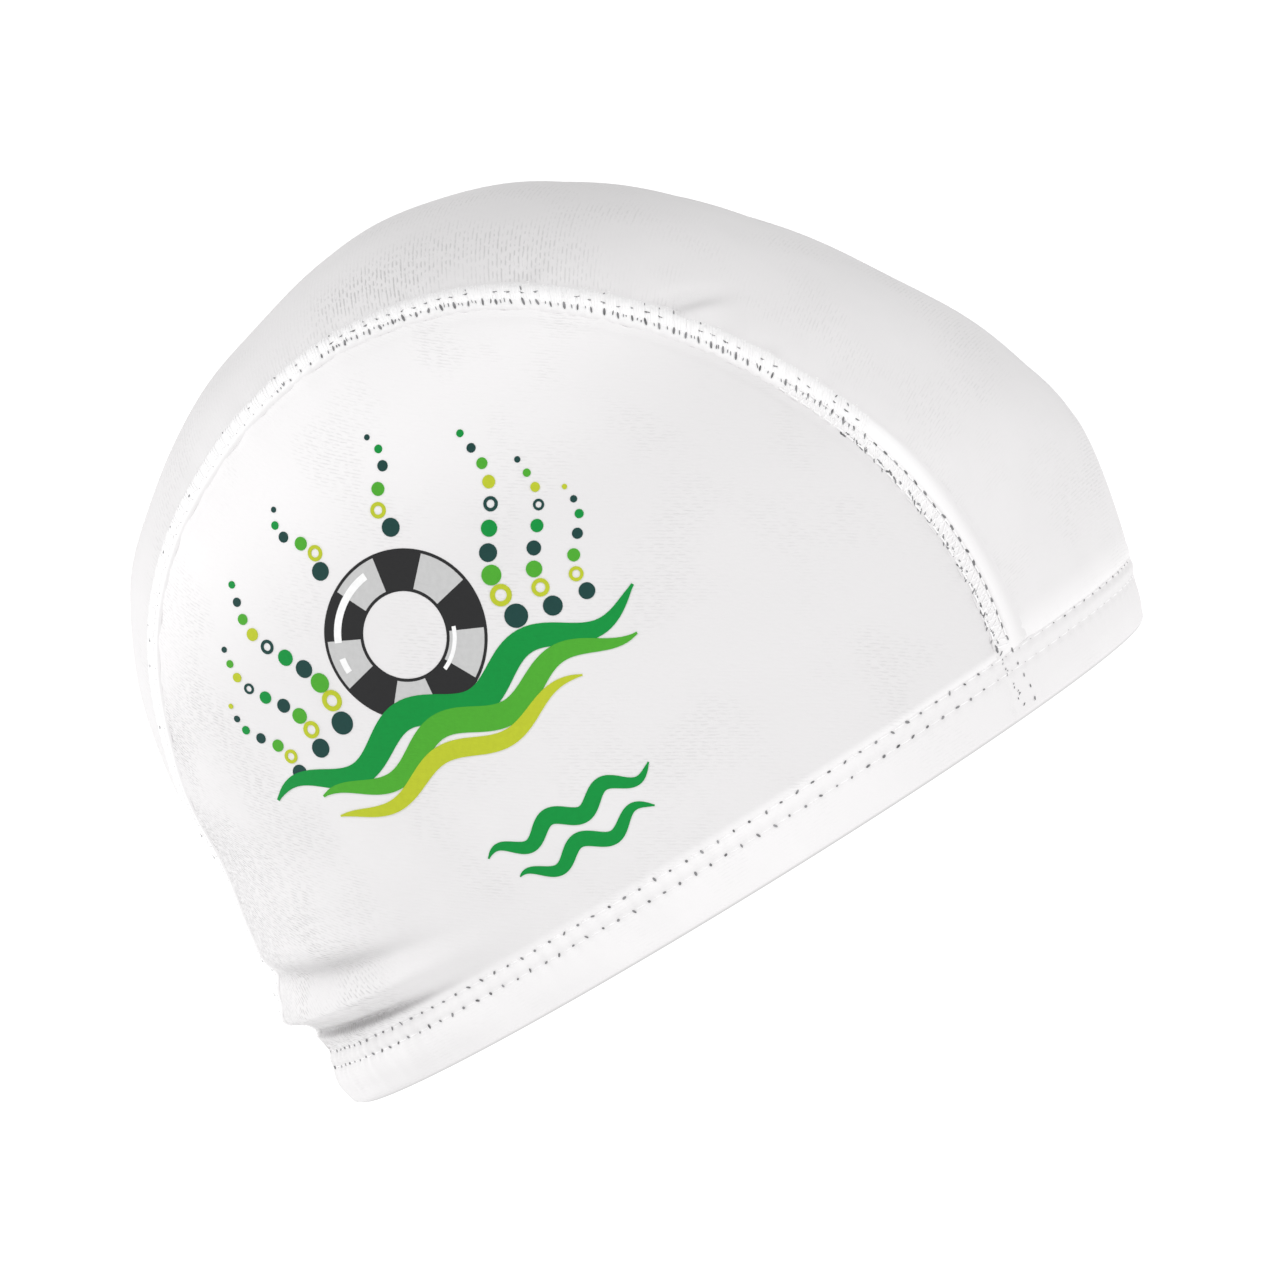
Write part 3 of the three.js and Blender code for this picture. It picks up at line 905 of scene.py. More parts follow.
def side_panel(shape, name, side, material):
    sewing = shape.sewing
    rows, columns = 210, 140
    edge_off = 0.7 * MM
    foot = shape.hem_height - 1.2 * MM

    def edge(climb):
        return shape.beside_seam(climb, edge_off)

    front, nape = (float(climb[0]) for climb in shape.hem_crossings(edge, foot))
    climb = np.linspace(front, nape, rows)
    from_ear = QUARTER_TURN - edge(climb)
    top = np.stack([from_ear * np.cos(climb), from_ear * np.sin(climb)], -1)
    blend = (1 - np.cos(HALF_TURN * np.linspace(0, 1, rows))) / 2
    forward = top[0, 0] + (top[-1, 0] - top[0, 0]) * blend
    def under(middle):
        return shape.cast(np.zeros(3), from_map(forward, middle, side))[..., 2] < foot

    low, _ = halved(np.zeros(rows), np.full(rows, QUARTER_TURN / 2), 30, under)
    bottom = np.stack([forward, low], -1)
    bottom[0], bottom[-1] = top[0], top[-1]
    step = np.linspace(0, 1, columns)
    step = step - 0.35 * np.sin(2 * HALF_TURN * step) / (2 * HALF_TURN)
    spot = bottom[:, None] + (top - bottom)[:, None] * step[None, :, None]
    base, normal = shape.skin(from_map(spot[..., 0], spot[..., 1], side))
    up_climb = np.arctan2(base[..., 2], base[..., 0])
    off_middle = np.arctan2(np.abs(base[..., 1]), np.hypot(base[..., 0], base[..., 2]))
    from_seam = (off_middle - shape.seam_spread(up_climb)) * shape.skin_width(up_climb)
    lift = seam_puckers(from_seam - sewing.seam_low, up_climb * shape.form.length / 2, 2.5 + side)
    lift = lift - 0.12 * MM * bell(from_seam - sewing.seam_low - 0.2 * MM, 0.9 * MM)
    names = name, "side_knit", name.replace("_knit", "")
    fit_panel(shape, names, (base, normal), lift, cloth_map(base), material)


# Hem


def hem_ring(shape, material):
    """The turned hem as one closed ring, with its rolled edge, its puff and its stitch rows."""
    sewing = shape.sewing
    hem_line = shape.hem_line
    steps = 1060
    top = sewing.hem_height + 0.1 * MM
    roll = sewing.hem_wall / 2
    low_levels = np.linspace(roll, hem_line.rows[1] - 1.2 * MM, 9)[:-1]
    high_levels = np.linspace(hem_line.rows[1] - 1.2 * MM, top, 22)
    section = [(level, 0.0) for level in np.concatenate([low_levels, high_levels])]
    section += [(top - 0.1 * MM, 1.2 * MM), (hem_line.rows[1] - 1.2 * MM, 1.35 * MM)]
    section += [(hem_line.rows[1] - 1.5 * MM, sewing.hem_wall)]
    section += [(level, sewing.hem_wall) for level in np.linspace(6.6 * MM, roll, 4)]
    for angle in np.linspace(0, HALF_TURN, 11)[1:-1]:
        section.append((roll - roll * math.sin(angle), roll + roll * math.cos(angle)))
    levels, depths = np.array(section).T
    turns = np.linspace(0, 2 * HALF_TURN, steps, endpoint=False)
    turns, levels = np.meshgrid(turns, levels, indexing="ij")
    depths = np.broadcast_to(depths, turns.shape)
    base, normal = shape.skin_at_level(turns, levels)
    flat = unit(normal * (1, 1, 0))
    outer = 1 - smooth_step(0, 1.0 * MM, depths)
    dive = -0.6 * MM * smooth_step(hem_line.rows[0] + 0.45 * MM, hem_line.rows[0] + 0.8 * MM, levels)
    lift = outer * (hem_line.relief(base) + dive + seam_over_hem(shape, base))
    drift = shape.slow_waves(base) + nape_gathers(shape, base)
    lift = lift + drift * smooth_step(roll, 4 * MM, levels)
    points = base + flat * (lift - depths)[..., None]
    uvs = np.stack([levels + 0 * turns, turns * shape.form.length / 2], -1)
    faces = grid_faces(*turns.shape, ring=True, tube=True).tolist()
    place(make_object("turned_hem", points, faces, uvs, material), "hem")


def seam_over_hem(shape, points):
    """The flat seam shows through the hem as a low ridge."""
    sewing = shape.sewing
    climb = np.arctan2(points[..., 2], points[..., 0])
    spread = np.arctan2(np.abs(points[..., 1]), np.hypot(points[..., 0], points[..., 2]))
    up = (shape.seam_spread(climb) - spread) * shape.reach["back"]
    ridge = smooth_step(-sewing.seam_low - 0.2 * MM, 0.6 * MM - sewing.seam_low, up)
    return 0.36 * MM * ridge * smooth_step(sewing.seam_high + 0.6 * MM, sewing.seam_high - 2 * MM, up)


# Seams


class SeamLine:
    """A seam's line over the head, measured along the cloth from the rim in front."""

    def __init__(self, shape, side):
        self.shape = shape
        self.side = side
        self.climbs = np.linspace(0, HALF_TURN, 1200)
        middle = shape.cast(np.zeros(3), heading(self.climbs, side * shape.seam_spread(self.climbs)))
        steps = np.linalg.norm(np.diff(middle, axis=0), axis=1)
        self.lengths = np.concatenate([[0], np.cumsum(steps)])
        self.total = self.lengths[-1]
        feet = np.flatnonzero(middle[:, 2] > shape.hem_height)
        self.first = self.lengths[feet[0]]
        self.last = self.lengths[feet[-1]]
        self.widths = shape.skin_width(self.climbs)

    def at(self, along, up, lift):
        """Points and normals along the seam: up is metres towards the crown strip."""
        along, up, lift = np.broadcast_arrays(along, up, lift)
        climb = np.interp(along, self.lengths, self.climbs)
        width = np.interp(climb, self.climbs, self.widths)
        spread = self.side * (self.shape.seam_spread(climb) - up / width)
        base, normal = self.shape.skin(heading(climb, spread))
        lift = lift + self.shape.slow_waves(base)
        return base + normal * lift[..., None], normal

    def wrapped(self, along):
        """How far the stitches wrap the seam, as they do over the top and down the back."""
        start = self.shape.sewing.wrap_start
        return smooth_step(start - 16 * MM, start + 30 * MM, along)

    def sunk(self, along):
        """How far the stitches have sunk into the cloth, as they do at the back."""
        start = self.shape.sewing.sunk_start
        return smooth_step(start, start + 48 * MM, along)

    def narrowing(self, along):
        """The seam lies narrower on the side panel where the stitches wrap it."""
        return 1 - 0.46 * self.wrapped(along)

    def beat(self, along):
        """A whole turn for each stitch, with a little drift in the feed."""
        drift = 0.5 * np.sin(along / (13 * MM)) + 0.35 * np.sin(along / (5.3 * MM) + 1)
        return 2 * HALF_TURN * along / self.shape.sewing.seam_pitch + drift

    def profile(self, along, up):
        """Height of the flat seam: a low ladder, a padded ridge and the lumps of wrapped stitches."""
        sewing = self.shape.sewing
        wrapped = self.wrapped(along)
        low = sewing.seam_low * self.narrowing(along)
        inner = smooth_step(-low - 0.05 * MM, 0.9 * MM - low, up)
        outer = smooth_step(sewing.seam_high + 0.05 * MM, sewing.seam_high - 2.6 * MM, up)
        ridge = smooth_step(0.6 * MM, 1.9 * MM, up) * outer
        height = 0.36 * inner * outer + 0.3 * ridge
        height = height - 0.3 * (1 - 0.8 * wrapped) * bell(up - sewing.high_row, 0.36 * MM)
        height = height - 0.22 * (1 - 0.7 * wrapped) * bell(up - sewing.low_row, 0.36 * MM)
        beat = self.beat(along)
        lump = np.abs(np.sin(beat / 2)) ** 0.7
        wrapped = wrapped * (1 - 0.55 * self.sunk(along))
        height = height + 0.34 * wrapped * (lump - 0.6) * ridge
        height = height - 0.1 * wrapped * np.cos(beat) * bell(up + 1.2 * MM, 0.9 * MM)
        slot = bell(np.sin(beat / 2), 0.3) * bell(up - 0.2 * MM, 0.75 * MM)
        ripple = 0.07 * np.cos(beat) * (1 - wrapped) * bell(up + 0.8 * MM, 1.4 * MM)
        return MM * (height - 0.22 * wrapped * slot + ripple)

    def above_hem(self, along):
        """How far along the seam a point lies above the hem's top, at the nearer end."""
        return np.minimum(along - self.first, self.last - along)

    def height(self, along, up):
        """The seam's own height, which eases into the hem's where the seam runs under it."""
        points, normals = self.at(along, up, 0)
        on_hem = seam_over_hem(self.shape, points) + self.shape.hem_line.relief(points)
        free = smooth_step(-1.2 * MM, 5 * MM, self.above_hem(along))
        return self.profile(along, up) * free + on_hem * (1 - free) + nape_gathers(self.shape, points)


def seam_band(shape, line, name, material):
    sewing = shape.sewing
    top_steps, under_steps = 31, 8
    over = np.linspace(-sewing.seam_low, sewing.seam_high, top_steps)
    under = np.linspace(sewing.seam_high, -sewing.seam_low, under_steps)
    above = np.arange(top_steps + under_steps) < top_steps
    along = np.linspace(line.first - 1.2 * MM, line.last + 1.2 * MM, 1300)
    along, across = np.meshgrid(along, np.concatenate([over, under]), indexing="ij")
    narrowing = line.narrowing(along)
    up = across * np.where(across < 0, narrowing, 1)
    low = sewing.seam_low * narrowing
    sunk = smooth_step(-low, 0.7 * MM - low, up)
    sunk = sunk * smooth_step(sewing.seam_high, sewing.seam_high - 0.7 * MM, up)
    inner = -0.35 * MM - (sewing.wall - 0.2 * MM) * sunk
    dive = 0.6 * MM * (1 - smooth_step(-1.2 * MM, -0.55 * MM, line.above_hem(along)))
    points, _ = line.at(along, up, np.where(above, line.height(along, up) - dive, inner))
    faces = tube_faces(*along.shape, flip=line.side < 0)
    band = make_object(name, points, faces, np.stack([along, across], -1), material)
    place(band, name.replace("_band", ""))


class SeamStitches:
    """Threads and needle holes of one flat seam, the holes as small dark bodies of painted shade."""

    def __init__(self, shape, line):
        self.sewing = shape.sewing
        self.line = line
        self.rng = np.random.default_rng(11 if line.side < 0 else 12)
        self.threads = []
        self.holes = []
        alongs = np.linspace(0, line.total, 6000)
        whole = line.beat(alongs) / (2 * HALF_TURN)
        numbers = np.arange(math.ceil(whole[0] + 0.3), math.floor(whole[-1]))
        self.starts = np.interp(numbers, whole, alongs)
        self.wrapped = line.wrapped(self.starts)
        self.sunk = line.sunk(self.starts)
        self.pitch = shape.sewing.seam_pitch

    def level(self, along, up):
        """A level on the seam where it narrows, and bent towards the forehead over the hem."""
        up = np.where(up < 0, up * self.line.narrowing(along), up)
        return up + 2.3 * MM * (1 - smooth_step(0, self.line.first, along))

    def thread(self, along, up, raise_by, radius, sides=6):
        up = self.level(along, up)
        points, normals = self.line.at(along, up, self.line.height(along, up) + raise_by)
        self.threads.append(tube_parts(points, radius, normals, sides))

    def hole(self, along, up, across, long, wide, tilt):
        """Needle holes as small dark bodies of painted shade: across says how far each one lies square to the
        seam.
        """
        up = self.level(along, up)
        angle = across * QUARTER_TURN + tilt * self.rng.normal(0, 1, len(along))
        shrink = 0.58 + 0.42 * smooth_step(-2 * MM, 1 * MM, self.line.above_hem(along))
        long, wide = long * shrink, wide * shrink
        ahead, aside = oval(long, wide, angle)
        rim_along, rim_up = along[:, None] + ahead, up[:, None] + aside
        rims, _ = self.line.at(rim_along, rim_up, self.line.height(rim_along, rim_up) + 0.09 * MM)
        middle = self.line.height(along, up)
        tops, _ = self.line.at(along, up, middle + 0.12 * MM)
        bottoms, _ = self.line.at(along, up, middle - 0.15 * MM)
        self.holes.append(lens_parts(rims, tops, bottoms))

    def pick(self, chance):
        return self.rng.random(len(self.starts)) < chance

    def spread(self, low, high, count):
        return self.rng.uniform(low, high, count) * MM

    def sew_ladder(self):
        """The looper's threads between the two needle rows, and the short stitches in the rows."""
        sewing, rng = self.sewing, self.rng
        radius = sewing.thread / 2
        row_gap = sewing.high_row - sewing.low_row
        bare = self.starts[(self.wrapped < 0.85) & (self.starts > self.line.first)]
        share = np.linspace(0, 1, 8)[None]
        for number, shift in enumerate((0.0, 0.27, 0.5, 0.74)):
            direction = 1 if number % 2 else -1
            begin = bare[:, None] + self.pitch * (shift + rng.normal(0, 0.05, (len(bare), 1)))
            along = begin + self.pitch * direction * 0.42 * share
            up = sewing.low_row + row_gap * share + 0.08 * MM * rng.normal(0, 1, (len(bare), 1))
            bow = 0.16 * MM * np.sin(HALF_TURN * share)
            self.thread(along, up, bow - 0.06 * MM, radius * 0.65)
        share = np.linspace(0.2, 0.8, 7)[None]
        for row, offset in ((sewing.low_row, 0.5), (sewing.high_row, 0.0)):
            along = bare[:, None] + self.pitch * (share + offset)
            up = row + 0.05 * MM * rng.normal(0, 1, (len(bare), 1)) + 0 * share
            self.thread(along, up, 0.2 * MM * np.sin(HALF_TURN * share), radius * 1.1)

    def sew_wraps(self):
        """The threads that wrap the seam, a bundle of four for each stitch."""
        sewing, rng = self.sewing, self.rng
        wraps = self.starts[(self.wrapped > 0.3) & (self.starts < self.line.last)]
        share = np.linspace(0, 1, 9)[None]
        for share_of_lump in (0.24, 0.42, 0.58, 0.76):
            lean = 0.3 * self.pitch * (share_of_lump - 0.5)
            along = wraps[:, None] + self.pitch * share_of_lump + lean * np.sin(HALF_TURN * share)
            along = along + rng.normal(0, 0.06 * MM, (len(wraps), 1))
            top = sewing.high_row + 0.2 * MM + rng.normal(0, 0.12 * MM, (len(wraps), 1))
            up = top + (sewing.seam_high - sewing.high_row - 0.2 * MM) * share
            raise_by = -0.22 * MM - 0.2 * MM * share**5 - 0.2 * MM * abs(share_of_lump - 0.5)
            self.thread(along, up, raise_by, sewing.thread * 1.1)

    def pierce(self):
        """The holes of the high needle row, the small marks by them and the holes of the low row, all
        dark bodies of painted shade.
        """
        sewing, rng, starts = self.sewing, self.rng, self.starts
        count = len(starts)
        shrink = 1 - 0.8 * self.sunk
        along = starts + rng.normal(0, 0.1 * MM, count)
        across = np.clip(self.wrapped * 1.3 + rng.normal(0, 0.12, count), 0, 1).round()
        level = sewing.high_row - 0.4 * MM * across + rng.normal(0, 0.07 * MM, count)
        long = self.spread(1.1, 1.6, count) * (1 + 0.15 * across) * shrink
        self.hole(along, level, across, long, self.spread(0.36, 0.56, count) * shrink, 0.12)
        for offset, chance, lost, least, rise, stray, across, longs, wides, tilt in SEAM_MARKS:
            keep = self.pick(chance - lost * self.sunk) & (self.wrapped > least)
            part = keep.sum()
            along = starts[keep] + self.pitch * offset + rng.normal(0, stray[0] * MM, part)
            level = sewing.high_row + rise * MM + rng.normal(0, stray[1] * MM, part)
            self.hole(along, level, across, self.spread(*longs, part), self.spread(*wides, part), tilt)
        for offset in (0.1, 0.38, 0.66, 0.9):
            keep = self.pick(np.where(self.wrapped < 0.5, 0.85, 0.0))
            part = keep.sum()
            along = starts[keep] + self.pitch * (offset + rng.normal(0, 0.07, part))
            level = sewing.low_row + rng.normal(0, 0.26 * MM, part) + 0.35 * MM * (offset < 0.5)
            long = self.spread(0.5, 1.15, part)
            self.hole(along, level, rng.random(part) * 0.6, long, self.spread(0.22, 0.4, part), 0.35)

    def sew(self, side_name, thread, shadow):
        self.sew_ladder()
        self.sew_wraps()
        self.pierce()
        place_parts(f"seam_{side_name}_threads", self.threads, thread)
        place_parts(f"seam_{side_name}_needle_holes", self.holes, shadow)


def near_front_seam(shape, points):
    """One where the hem crosses a seam in front, fading to nought a stitch or four away."""
    spread = np.arctan2(np.abs(points[..., 1]), np.hypot(points[..., 0], points[..., 2]))
    up = (shape.seam_spread(np.arctan2(points[..., 2], points[..., 0])) - spread) * shape.reach["back"]
    near = smooth_step(-9 * MM, -3 * MM, up) * smooth_step(17 * MM, 9 * MM, up)
    return near * (points[..., 0] > 0)


def hem_stitches(shape, thread, shadow):
    """Two rows of needle holes round the hem, each with its short sunk thread; the holes are dark
    bodies of painted shade.
    """
    sewing = shape.sewing
    hem_line = shape.hem_line
    rng = np.random.default_rng(21)
    parts, holes = [], []

    def at(stitch, levels, lift):
        base, normal = shape.skin_at_level(hem_line.turn_at(stitch), levels)
        flat = unit(normal * (1, 1, 0))
        lift = lift + hem_line.relief(base) + shape.slow_waves(base) + nape_gathers(shape, base)
        lift = lift + seam_over_hem(shape, base)
        return base + flat * lift[..., None], flat

    count = hem_line.count
    for level in hem_line.rows:
        stitch = np.arange(count)[:, None] + np.linspace(0.14, 0.86, 8)[None]
        dive = 0.14 * MM * np.sin(HALF_TURN * (stitch - np.arange(count)[:, None])) - 0.2 * MM
        points, normals = at(stitch, np.full(stitch.shape, level), dive)
        parts.append(tube_parts(points, sewing.thread * 0.36, normals))
        stitch = np.arange(count) + rng.normal(0, 0.03, count)
        levels = level + rng.normal(0, 0.09 * MM, count)
        long = rng.uniform(0.5, 1.05, count) * MM
        wide = rng.uniform(0.34, 0.56, count) * MM
        middle, _ = at(stitch, levels, np.zeros(count))
        fade = 0.85 if level == hem_line.rows[1] else 0.35
        shrink = 1 - 0.7 * near_front_seam(shape, middle)
        shrink = shrink * (1 - fade * smooth_step(68 * MM, 84 * MM, middle[:, 0]))
        long, wide = long * shrink, wide * shrink
        ahead, aside = oval(long, wide, rng.normal(0.0, 0.9, count))
        around = stitch[:, None] + ahead / sewing.hem_pitch
        rims, _ = at(around, levels[:, None] + aside, np.full(ahead.shape, 0.1 * MM))
        tops, _ = at(stitch, levels, np.full(count, 0.13 * MM))
        bottoms, _ = at(stitch, levels, np.full(count, -0.15 * MM))
        holes.append(lens_parts(rims, tops, bottoms))
    place_parts("hem_threads", parts, thread)
    place_parts("hem_needle_holes", holes, shadow)


# Print


class Ink:
    """Collects flat patches of one ink and lays them on the right side panel."""

    def __init__(self, shape, printing, name, layer):
        self.shape = shape
        self.printing = printing
        self.name = name
        self.height = (1 + 0.35 * layer) * printing.ink
        self.parts = []

    def patch(self, forward, upward, ring=False):
        """Adds a patch given as two grids of metres forward and up from the print's middle."""
        x = forward + self.printing.middle_x
        z = upward + self.printing.middle_z
        start = np.stack([x, np.zeros_like(x), z], -1)
        ways = np.broadcast_to(np.array([0.0, SIDES["right"], 0.0]), start.shape)
        base = self.shape.cast(start, ways)
        normal = self.shape.normals(base)
        base = self.shape.folded(base)
        lift = (self.shape.slow_waves(base) + panel_foot(self.shape, base))[..., None]
        outside = base + normal * (lift + self.height)
        inside = base + normal * (lift - 2 * self.printing.ink)
        self.parts.append(wall_parts(outside, inside, cloth_map(base), ring))

    def disc(self, forward, upward, radius, hollow=0.0, start=0.0, sweep=2 * HALF_TURN):
        """A dot, a ring or a sector."""
        whole = sweep > 2 * HALF_TURN - TINY
        around = max(9, int(radius * sweep / (0.9 * MM)) + 9)
        angles = start + np.linspace(0, sweep, around)
        radii = np.linspace(hollow, radius, 2 + int((radius - hollow) / (1.5 * MM)))
        angles, radii = np.meshgrid(angles, radii, indexing="ij")
        if whole:
            angles[-1] = angles[0]
        self.patch(forward + radii * np.cos(angles), upward + radii * np.sin(angles), ring=whole)

    def band(self, line, thickness, count=90):
        """A band whose middle line and thickness are functions of a share from 0 to 1."""
        share = np.linspace(0, 1, count)
        middle = np.stack(line(share), -1)
        across = unit(np.gradient(middle, axis=0))[:, ::-1] * (-1, 1)
        offs = np.linspace(-0.5, 0.5, 5)[None, :, None]
        grid = middle[:, None] + across[:, None] * offs * thickness(share)[:, None, None]
        self.patch(grid[..., 0], grid[..., 1])

    def finish(self):
        material = ink_material(f"{self.name}_ink", getattr(self.printing, self.name))
        place_parts(f"print_{self.name}", self.parts, material)


def swim_ring(dark, pale, light):
    """A striped float ring seen from the front, with its gloss."""
    middle = (0.0, 7 * MM)
    outer, inner = 16.5 * MM, 8.4 * MM
    segments = 10
    sweep = 2 * HALF_TURN / segments
    for number in range(segments):
        ink = dark if number % 2 else pale
        ink.disc(*middle, outer - 0.5 * MM, inner + 0.5 * MM, number * sweep + 0.2, sweep)
    dark.disc(*middle, outer, outer - 0.6 * MM)
    dark.disc(*middle, inner + 0.6 * MM, inner)
    light.disc(*middle, outer - 2.1 * MM, outer - 3.6 * MM, math.radians(95), math.radians(62))
    light.disc(*middle, outer - 2.1 * MM, outer - 3.4 * MM, math.radians(170), math.radians(12))
    light.disc(*middle, inner + 2.0 * MM, inner + 1.2 * MM, math.radians(-70), math.radians(50))


def wave_band(ink, middle, swing, length, thickness, waves, phase):
    def line(share):
        rise = swing * MM * np.sin(2 * HALF_TURN * waves * share + phase)
        return middle[0] + (share - 0.5) * length * MM, middle[1] + rise

    def thick(share):
        return thickness * MM * np.maximum(np.sin(HALF_TURN * share), 0.02) ** 0.6

    ink.band(line, thick)


def bubble_stream(inks, start, way, count, bend, largest):
    """Bubbles that rise along a bent line and shrink on their way."""
    for number in range(count):
        share = number / max(count - 1, 1)
        forward = start[0] + way[0] * share + bend * math.sin(2.2 * HALF_TURN * share)
        upward = start[1] + way[1] * share**0.9
        radius = largest * (1 - 0.68 * share)
        hollow = 0.55 * radius if number % 4 == 1 and radius > 1.0 else 0.0
        inks[number % len(inks)].disc(forward * MM, upward * MM, radius * MM, hollow * MM)


# Studio


def tent(studio):
    """A white floor that curves up into a round wall, the same from every side."""
    steps, cove = 96, 1.2
    floor = studio.tent_radius - cove
    profile = [(radius, 0.0) for radius in (0.0, 0.3, 0.8, floor)]
    for angle in np.linspace(0, QUARTER_TURN, 13)[1:]:
        profile.append((floor + cove * math.sin(angle), cove * (1 - math.cos(angle))))
    profile.append((studio.tent_radius, studio.tent_height))
    radii, heights = np.array(profile).T
    turns = np.linspace(0, 2 * HALF_TURN, steps, endpoint=False)[:, None]
    points = np.stack([radii * np.cos(turns), radii * np.sin(turns), heights + 0 * turns], -1)
    faces = grid_faces(steps, len(profile), ring=True)
    finish = Finish("tent_paper", (1, 1, 1), 1.0)
    finish.material.cycles.emission_sampling = "NONE"
    finish.tree.nodes.remove(finish.shader)
    fade = {
        "Value": finish.axis(finish.cap, "Z"),
        "From Min": 0.36 * studio.tent_height,
        "From Max": 0.6 * studio.tent_height,
        "To Min": studio.tent_glow,
        "To Max": studio.sky,
    }
    strength = finish.node("ShaderNodeMapRange", fade).outputs["Result"]
    glow = finish.node("ShaderNodeEmission", {"Color": (1, 1, 1, 1), "Strength": strength})
    finish.tree.links.new(glow.outputs[0], finish.tree.nodes["Material Output"].inputs["Surface"])
    shell = weld(points.reshape(-1, 3), faces)
    make_object("tent", *shell, finish.material, smooth_angle=80)


def place_round(azimuth, elevation, distance):
    """A place round the cap: azimuth turns from its right side towards the forehead."""
    flat = distance * math.cos(elevation)
    height = distance * math.sin(elevation)
    return np.array([flat * math.sin(azimuth), -flat * math.cos(azimuth), height])


def hang(name, data, spot, aim, roll=0.0):
    """A camera or lamp at its spot, turned to its aim."""
    thing = bpy.data.objects.new(name, data)
    bpy.context.scene.collection.objects.link(thing)
    turn = Vector(aim - spot).normalized().to_track_quat("-Z", "Y").to_matrix()
    thing.location = spot
    thing.rotation_euler = (turn @ Matrix.Rotation(roll, 3, "Z")).to_euler()
    return thing


class SWIMCAP_OT_studio(bpy.types.Operator):
    """Sets the tent, the lights and the camera."""

    bl_idname = "swim_cap.studio"
    bl_label = "Studio"

    def execute(self, context):
        studio = context.scene.swim_cap_studio
        tent(studio)
        camera = bpy.data.cameras.new("camera")
        camera.sensor_width = 36
        camera.lens = studio.lens
        aim = np.array([studio.aim_x, 0.0, studio.aim_z])
        eye = aim + place_round(studio.azimuth, studio.elevation, studio.distance)
        context.scene.camera = hang("camera", camera, eye, aim, -studio.roll)
        for name, (azimuth, elevation, size) in LAMPS.items():
            lamp = bpy.data.lights.new(f"{name}_lamp", "AREA")
            lamp.shape = "DISK"
            lamp.size = size
            lamp.energy = getattr(studio, f"{name}_light")
            spot = place_round(math.radians(azimuth), math.radians(elevation), LAMP_DISTANCE)
            hang(f"{name}_lamp", lamp, spot, np.array(LAMP_AIM))
        world = bpy.data.worlds.new("tent_sky")
        world.use_nodes = True
        background = world.node_tree.nodes["Background"]
        background.inputs["Color"].default_value = (1, 1, 1, 1)
        background.inputs["Strength"].default_value = studio.sky
        context.scene.world = world
        context.scene.view_settings.view_transform = "Standard"
        return {"FINISHED"}


class SWIMCAP_OT_crown(bpy.types.Operator):
    """Cuts and fits the crown strip."""

    bl_idname = "swim_cap.crown"
    bl_label = "Crown strip"

    def execute(self, context):
        shape = CapShape(context.scene)
        ribs_open = (50 * MM, 18 * MM, 0.0, -35 * MM)
        fades = [hem_foot(shape, 7 * MM)]
        crown_panel(shape, knit_material("crown", shape.sewing.knit_colour, fades, ribs_open))
        return {"FINISHED"}


class SWIMCAP_OT_sides(bpy.types.Operator):
    """Cuts and fits the two side panels."""

    bl_idname = "swim_cap.sides"
    bl_label = "Side panels"

    def execute(self, context):
        shape = CapShape(context.scene)
        colour = shape.sewing.knit_colour
        ribs_open = (-56 * MM, -86 * MM, -130 * MM, -150 * MM)
        # Painted shade towards the forehead; painted light, in the hem's paler colour, towards the top.
        front = ("X", -40 * MM, 50 * MM, 1.0, dimmed(colour, 0.94))
        top = ("Z", 80 * MM, 116 * MM, 1.0, shape.sewing.hem_colour)
        fades = [front, hem_foot(shape, 2.2 * MM), top]
        knit = knit_material("side", colour, fades, ribs_open)
        for side_name, side in SIDES.items():
            side_panel(shape, f"side_panel_{side_name}_knit", side, knit)
        return {"FINISHED"}


class SWIMCAP_OT_hem(bpy.types.Operator):
    """Turns and stitches the hem."""

    bl_idname = "swim_cap.hem"
    bl_label = "Hem"

    def execute(self, context):
        shape = CapShape(context.scene)
        sewing = shape.sewing
        # Painted shade: the hem darkens to the knit's colour towards the nape.
        nape = ("X", -50 * MM, -90 * MM, 1.0, sewing.knit_colour)
        front = ("X", 10 * MM, 70 * MM, 0.8, sewing.knit_colour)
        fades = [nape, front]
        # Painted shade along the hem's rolled rim, the lowest 0.8 mm.
        hem_ring(shape, knit_material("hem", sewing.hem_colour, fades, gap_shade=0.3, rim_shade=0.8 * MM))
        thread = thread_material("hem_thread", sewing.thread_colour)
        hem_stitches(shape, thread, hole_material("hem_hole_shade", sewing.hole_shade_colour))
        return {"FINISHED"}


class SWIMCAP_OT_seams(bpy.types.Operator):
    """Sews the two arched flat seams with their threads."""

    bl_idname = "swim_cap.seams"
    bl_label = "Flat seams"

    def execute(self, context):
        shape = CapShape(context.scene)
        band = band_material(shape.sewing)
        thread = thread_material("seam_thread", shape.sewing.thread_colour)
        shadow = hole_material("seam_hole_shade", shape.sewing.hole_shade_colour)
        for side_name, side in SIDES.items():
            line = SeamLine(shape, side)
            seam_band(shape, line, f"seam_{side_name}_band", band)
            SeamStitches(shape, line).sew(side_name, thread, shadow)
        return {"FINISHED"}


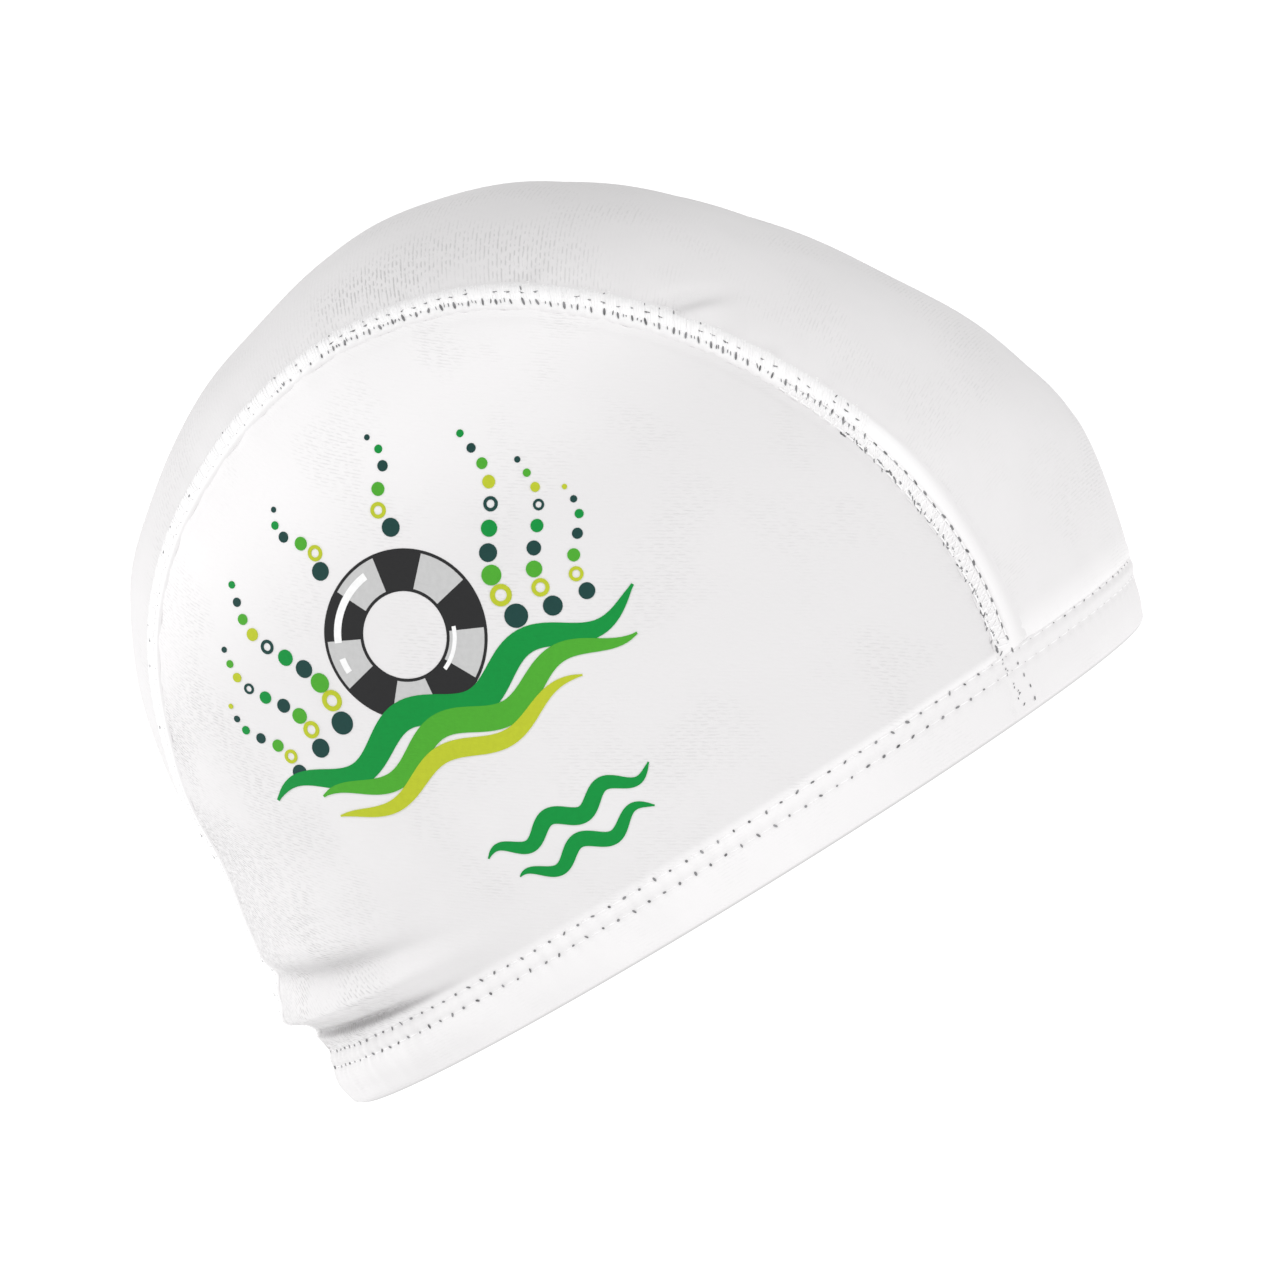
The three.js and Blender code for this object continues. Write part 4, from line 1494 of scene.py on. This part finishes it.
class SWIMCAP_OT_print(bpy.types.Operator):
    """Prints waves, a float ring and bubbles on the right side panel."""

    bl_idname = "swim_cap.print"
    bl_label = "Print"

    def execute(self, context):
        shape = CapShape(context.scene)
        printing = context.scene.swim_cap_print
        inks = {name: Ink(shape, printing, name, layer) for layer, name in enumerate(INKS)}
        swim_ring(inks["black"], inks["pale_grey"], inks["highlight"])
        low = (printing.line_x - printing.middle_x, printing.line_z - printing.middle_z)
        for waves, (forward, upward) in ((BIG_WAVES, (0, 0)), (SMALL_WAVES, low)):
            for ink, x, z, *form in waves:
                wave_band(inks[ink], (forward + x * MM, upward + z * MM), *form)
        for stream in STREAMS:
            bubble_stream([inks[name] for name in BUBBLE_INKS], *stream)
        for ink in inks.values():
            ink.finish()
        return {"FINISHED"}


class SWIMCAP_PT_panel(bpy.types.Panel):
    """Lists the cap's pieces and their sizes."""

    bl_label = "Swim Cap"
    bl_space_type = "VIEW_3D"
    bl_region_type = "UI"
    bl_category = "Swim Cap"

    def draw(self, context):
        for group_name in GROUPS:
            group = getattr(context.scene, group_name)
            box = self.layout.box()
            for name in group.__annotations__:
                box.prop(group, name)
        for operator in OPERATORS:
            self.layout.operator(operator.bl_idname)


GROUPS = {
    "swim_cap_form": CapForm,
    "swim_cap_sewing": CapSewing,
    "swim_cap_print": CapPrint,
    "swim_cap_studio": CapStudio,
}
OPERATORS = (
    SWIMCAP_OT_studio,
    SWIMCAP_OT_crown,
    SWIMCAP_OT_sides,
    SWIMCAP_OT_hem,
    SWIMCAP_OT_seams,
    SWIMCAP_OT_print,
)


def register():
    for kind in (*GROUPS.values(), *OPERATORS, SWIMCAP_PT_panel):
        bpy.utils.register_class(kind)
    for name, kind in GROUPS.items():
        setattr(bpy.types.Scene, name, PointerProperty(type=kind))


def unregister():
    for name in GROUPS:
        delattr(bpy.types.Scene, name)
    for kind in reversed((*GROUPS.values(), *OPERATORS, SWIMCAP_PT_panel)):
        bpy.utils.unregister_class(kind)


def main():
    register()
    bpy.ops.swim_cap.studio()
    bpy.ops.swim_cap.crown()
    bpy.ops.swim_cap.sides()
    bpy.ops.swim_cap.hem()
    bpy.ops.swim_cap.seams()
    bpy.ops.swim_cap.print()


if __name__ == "__main__":
    main()
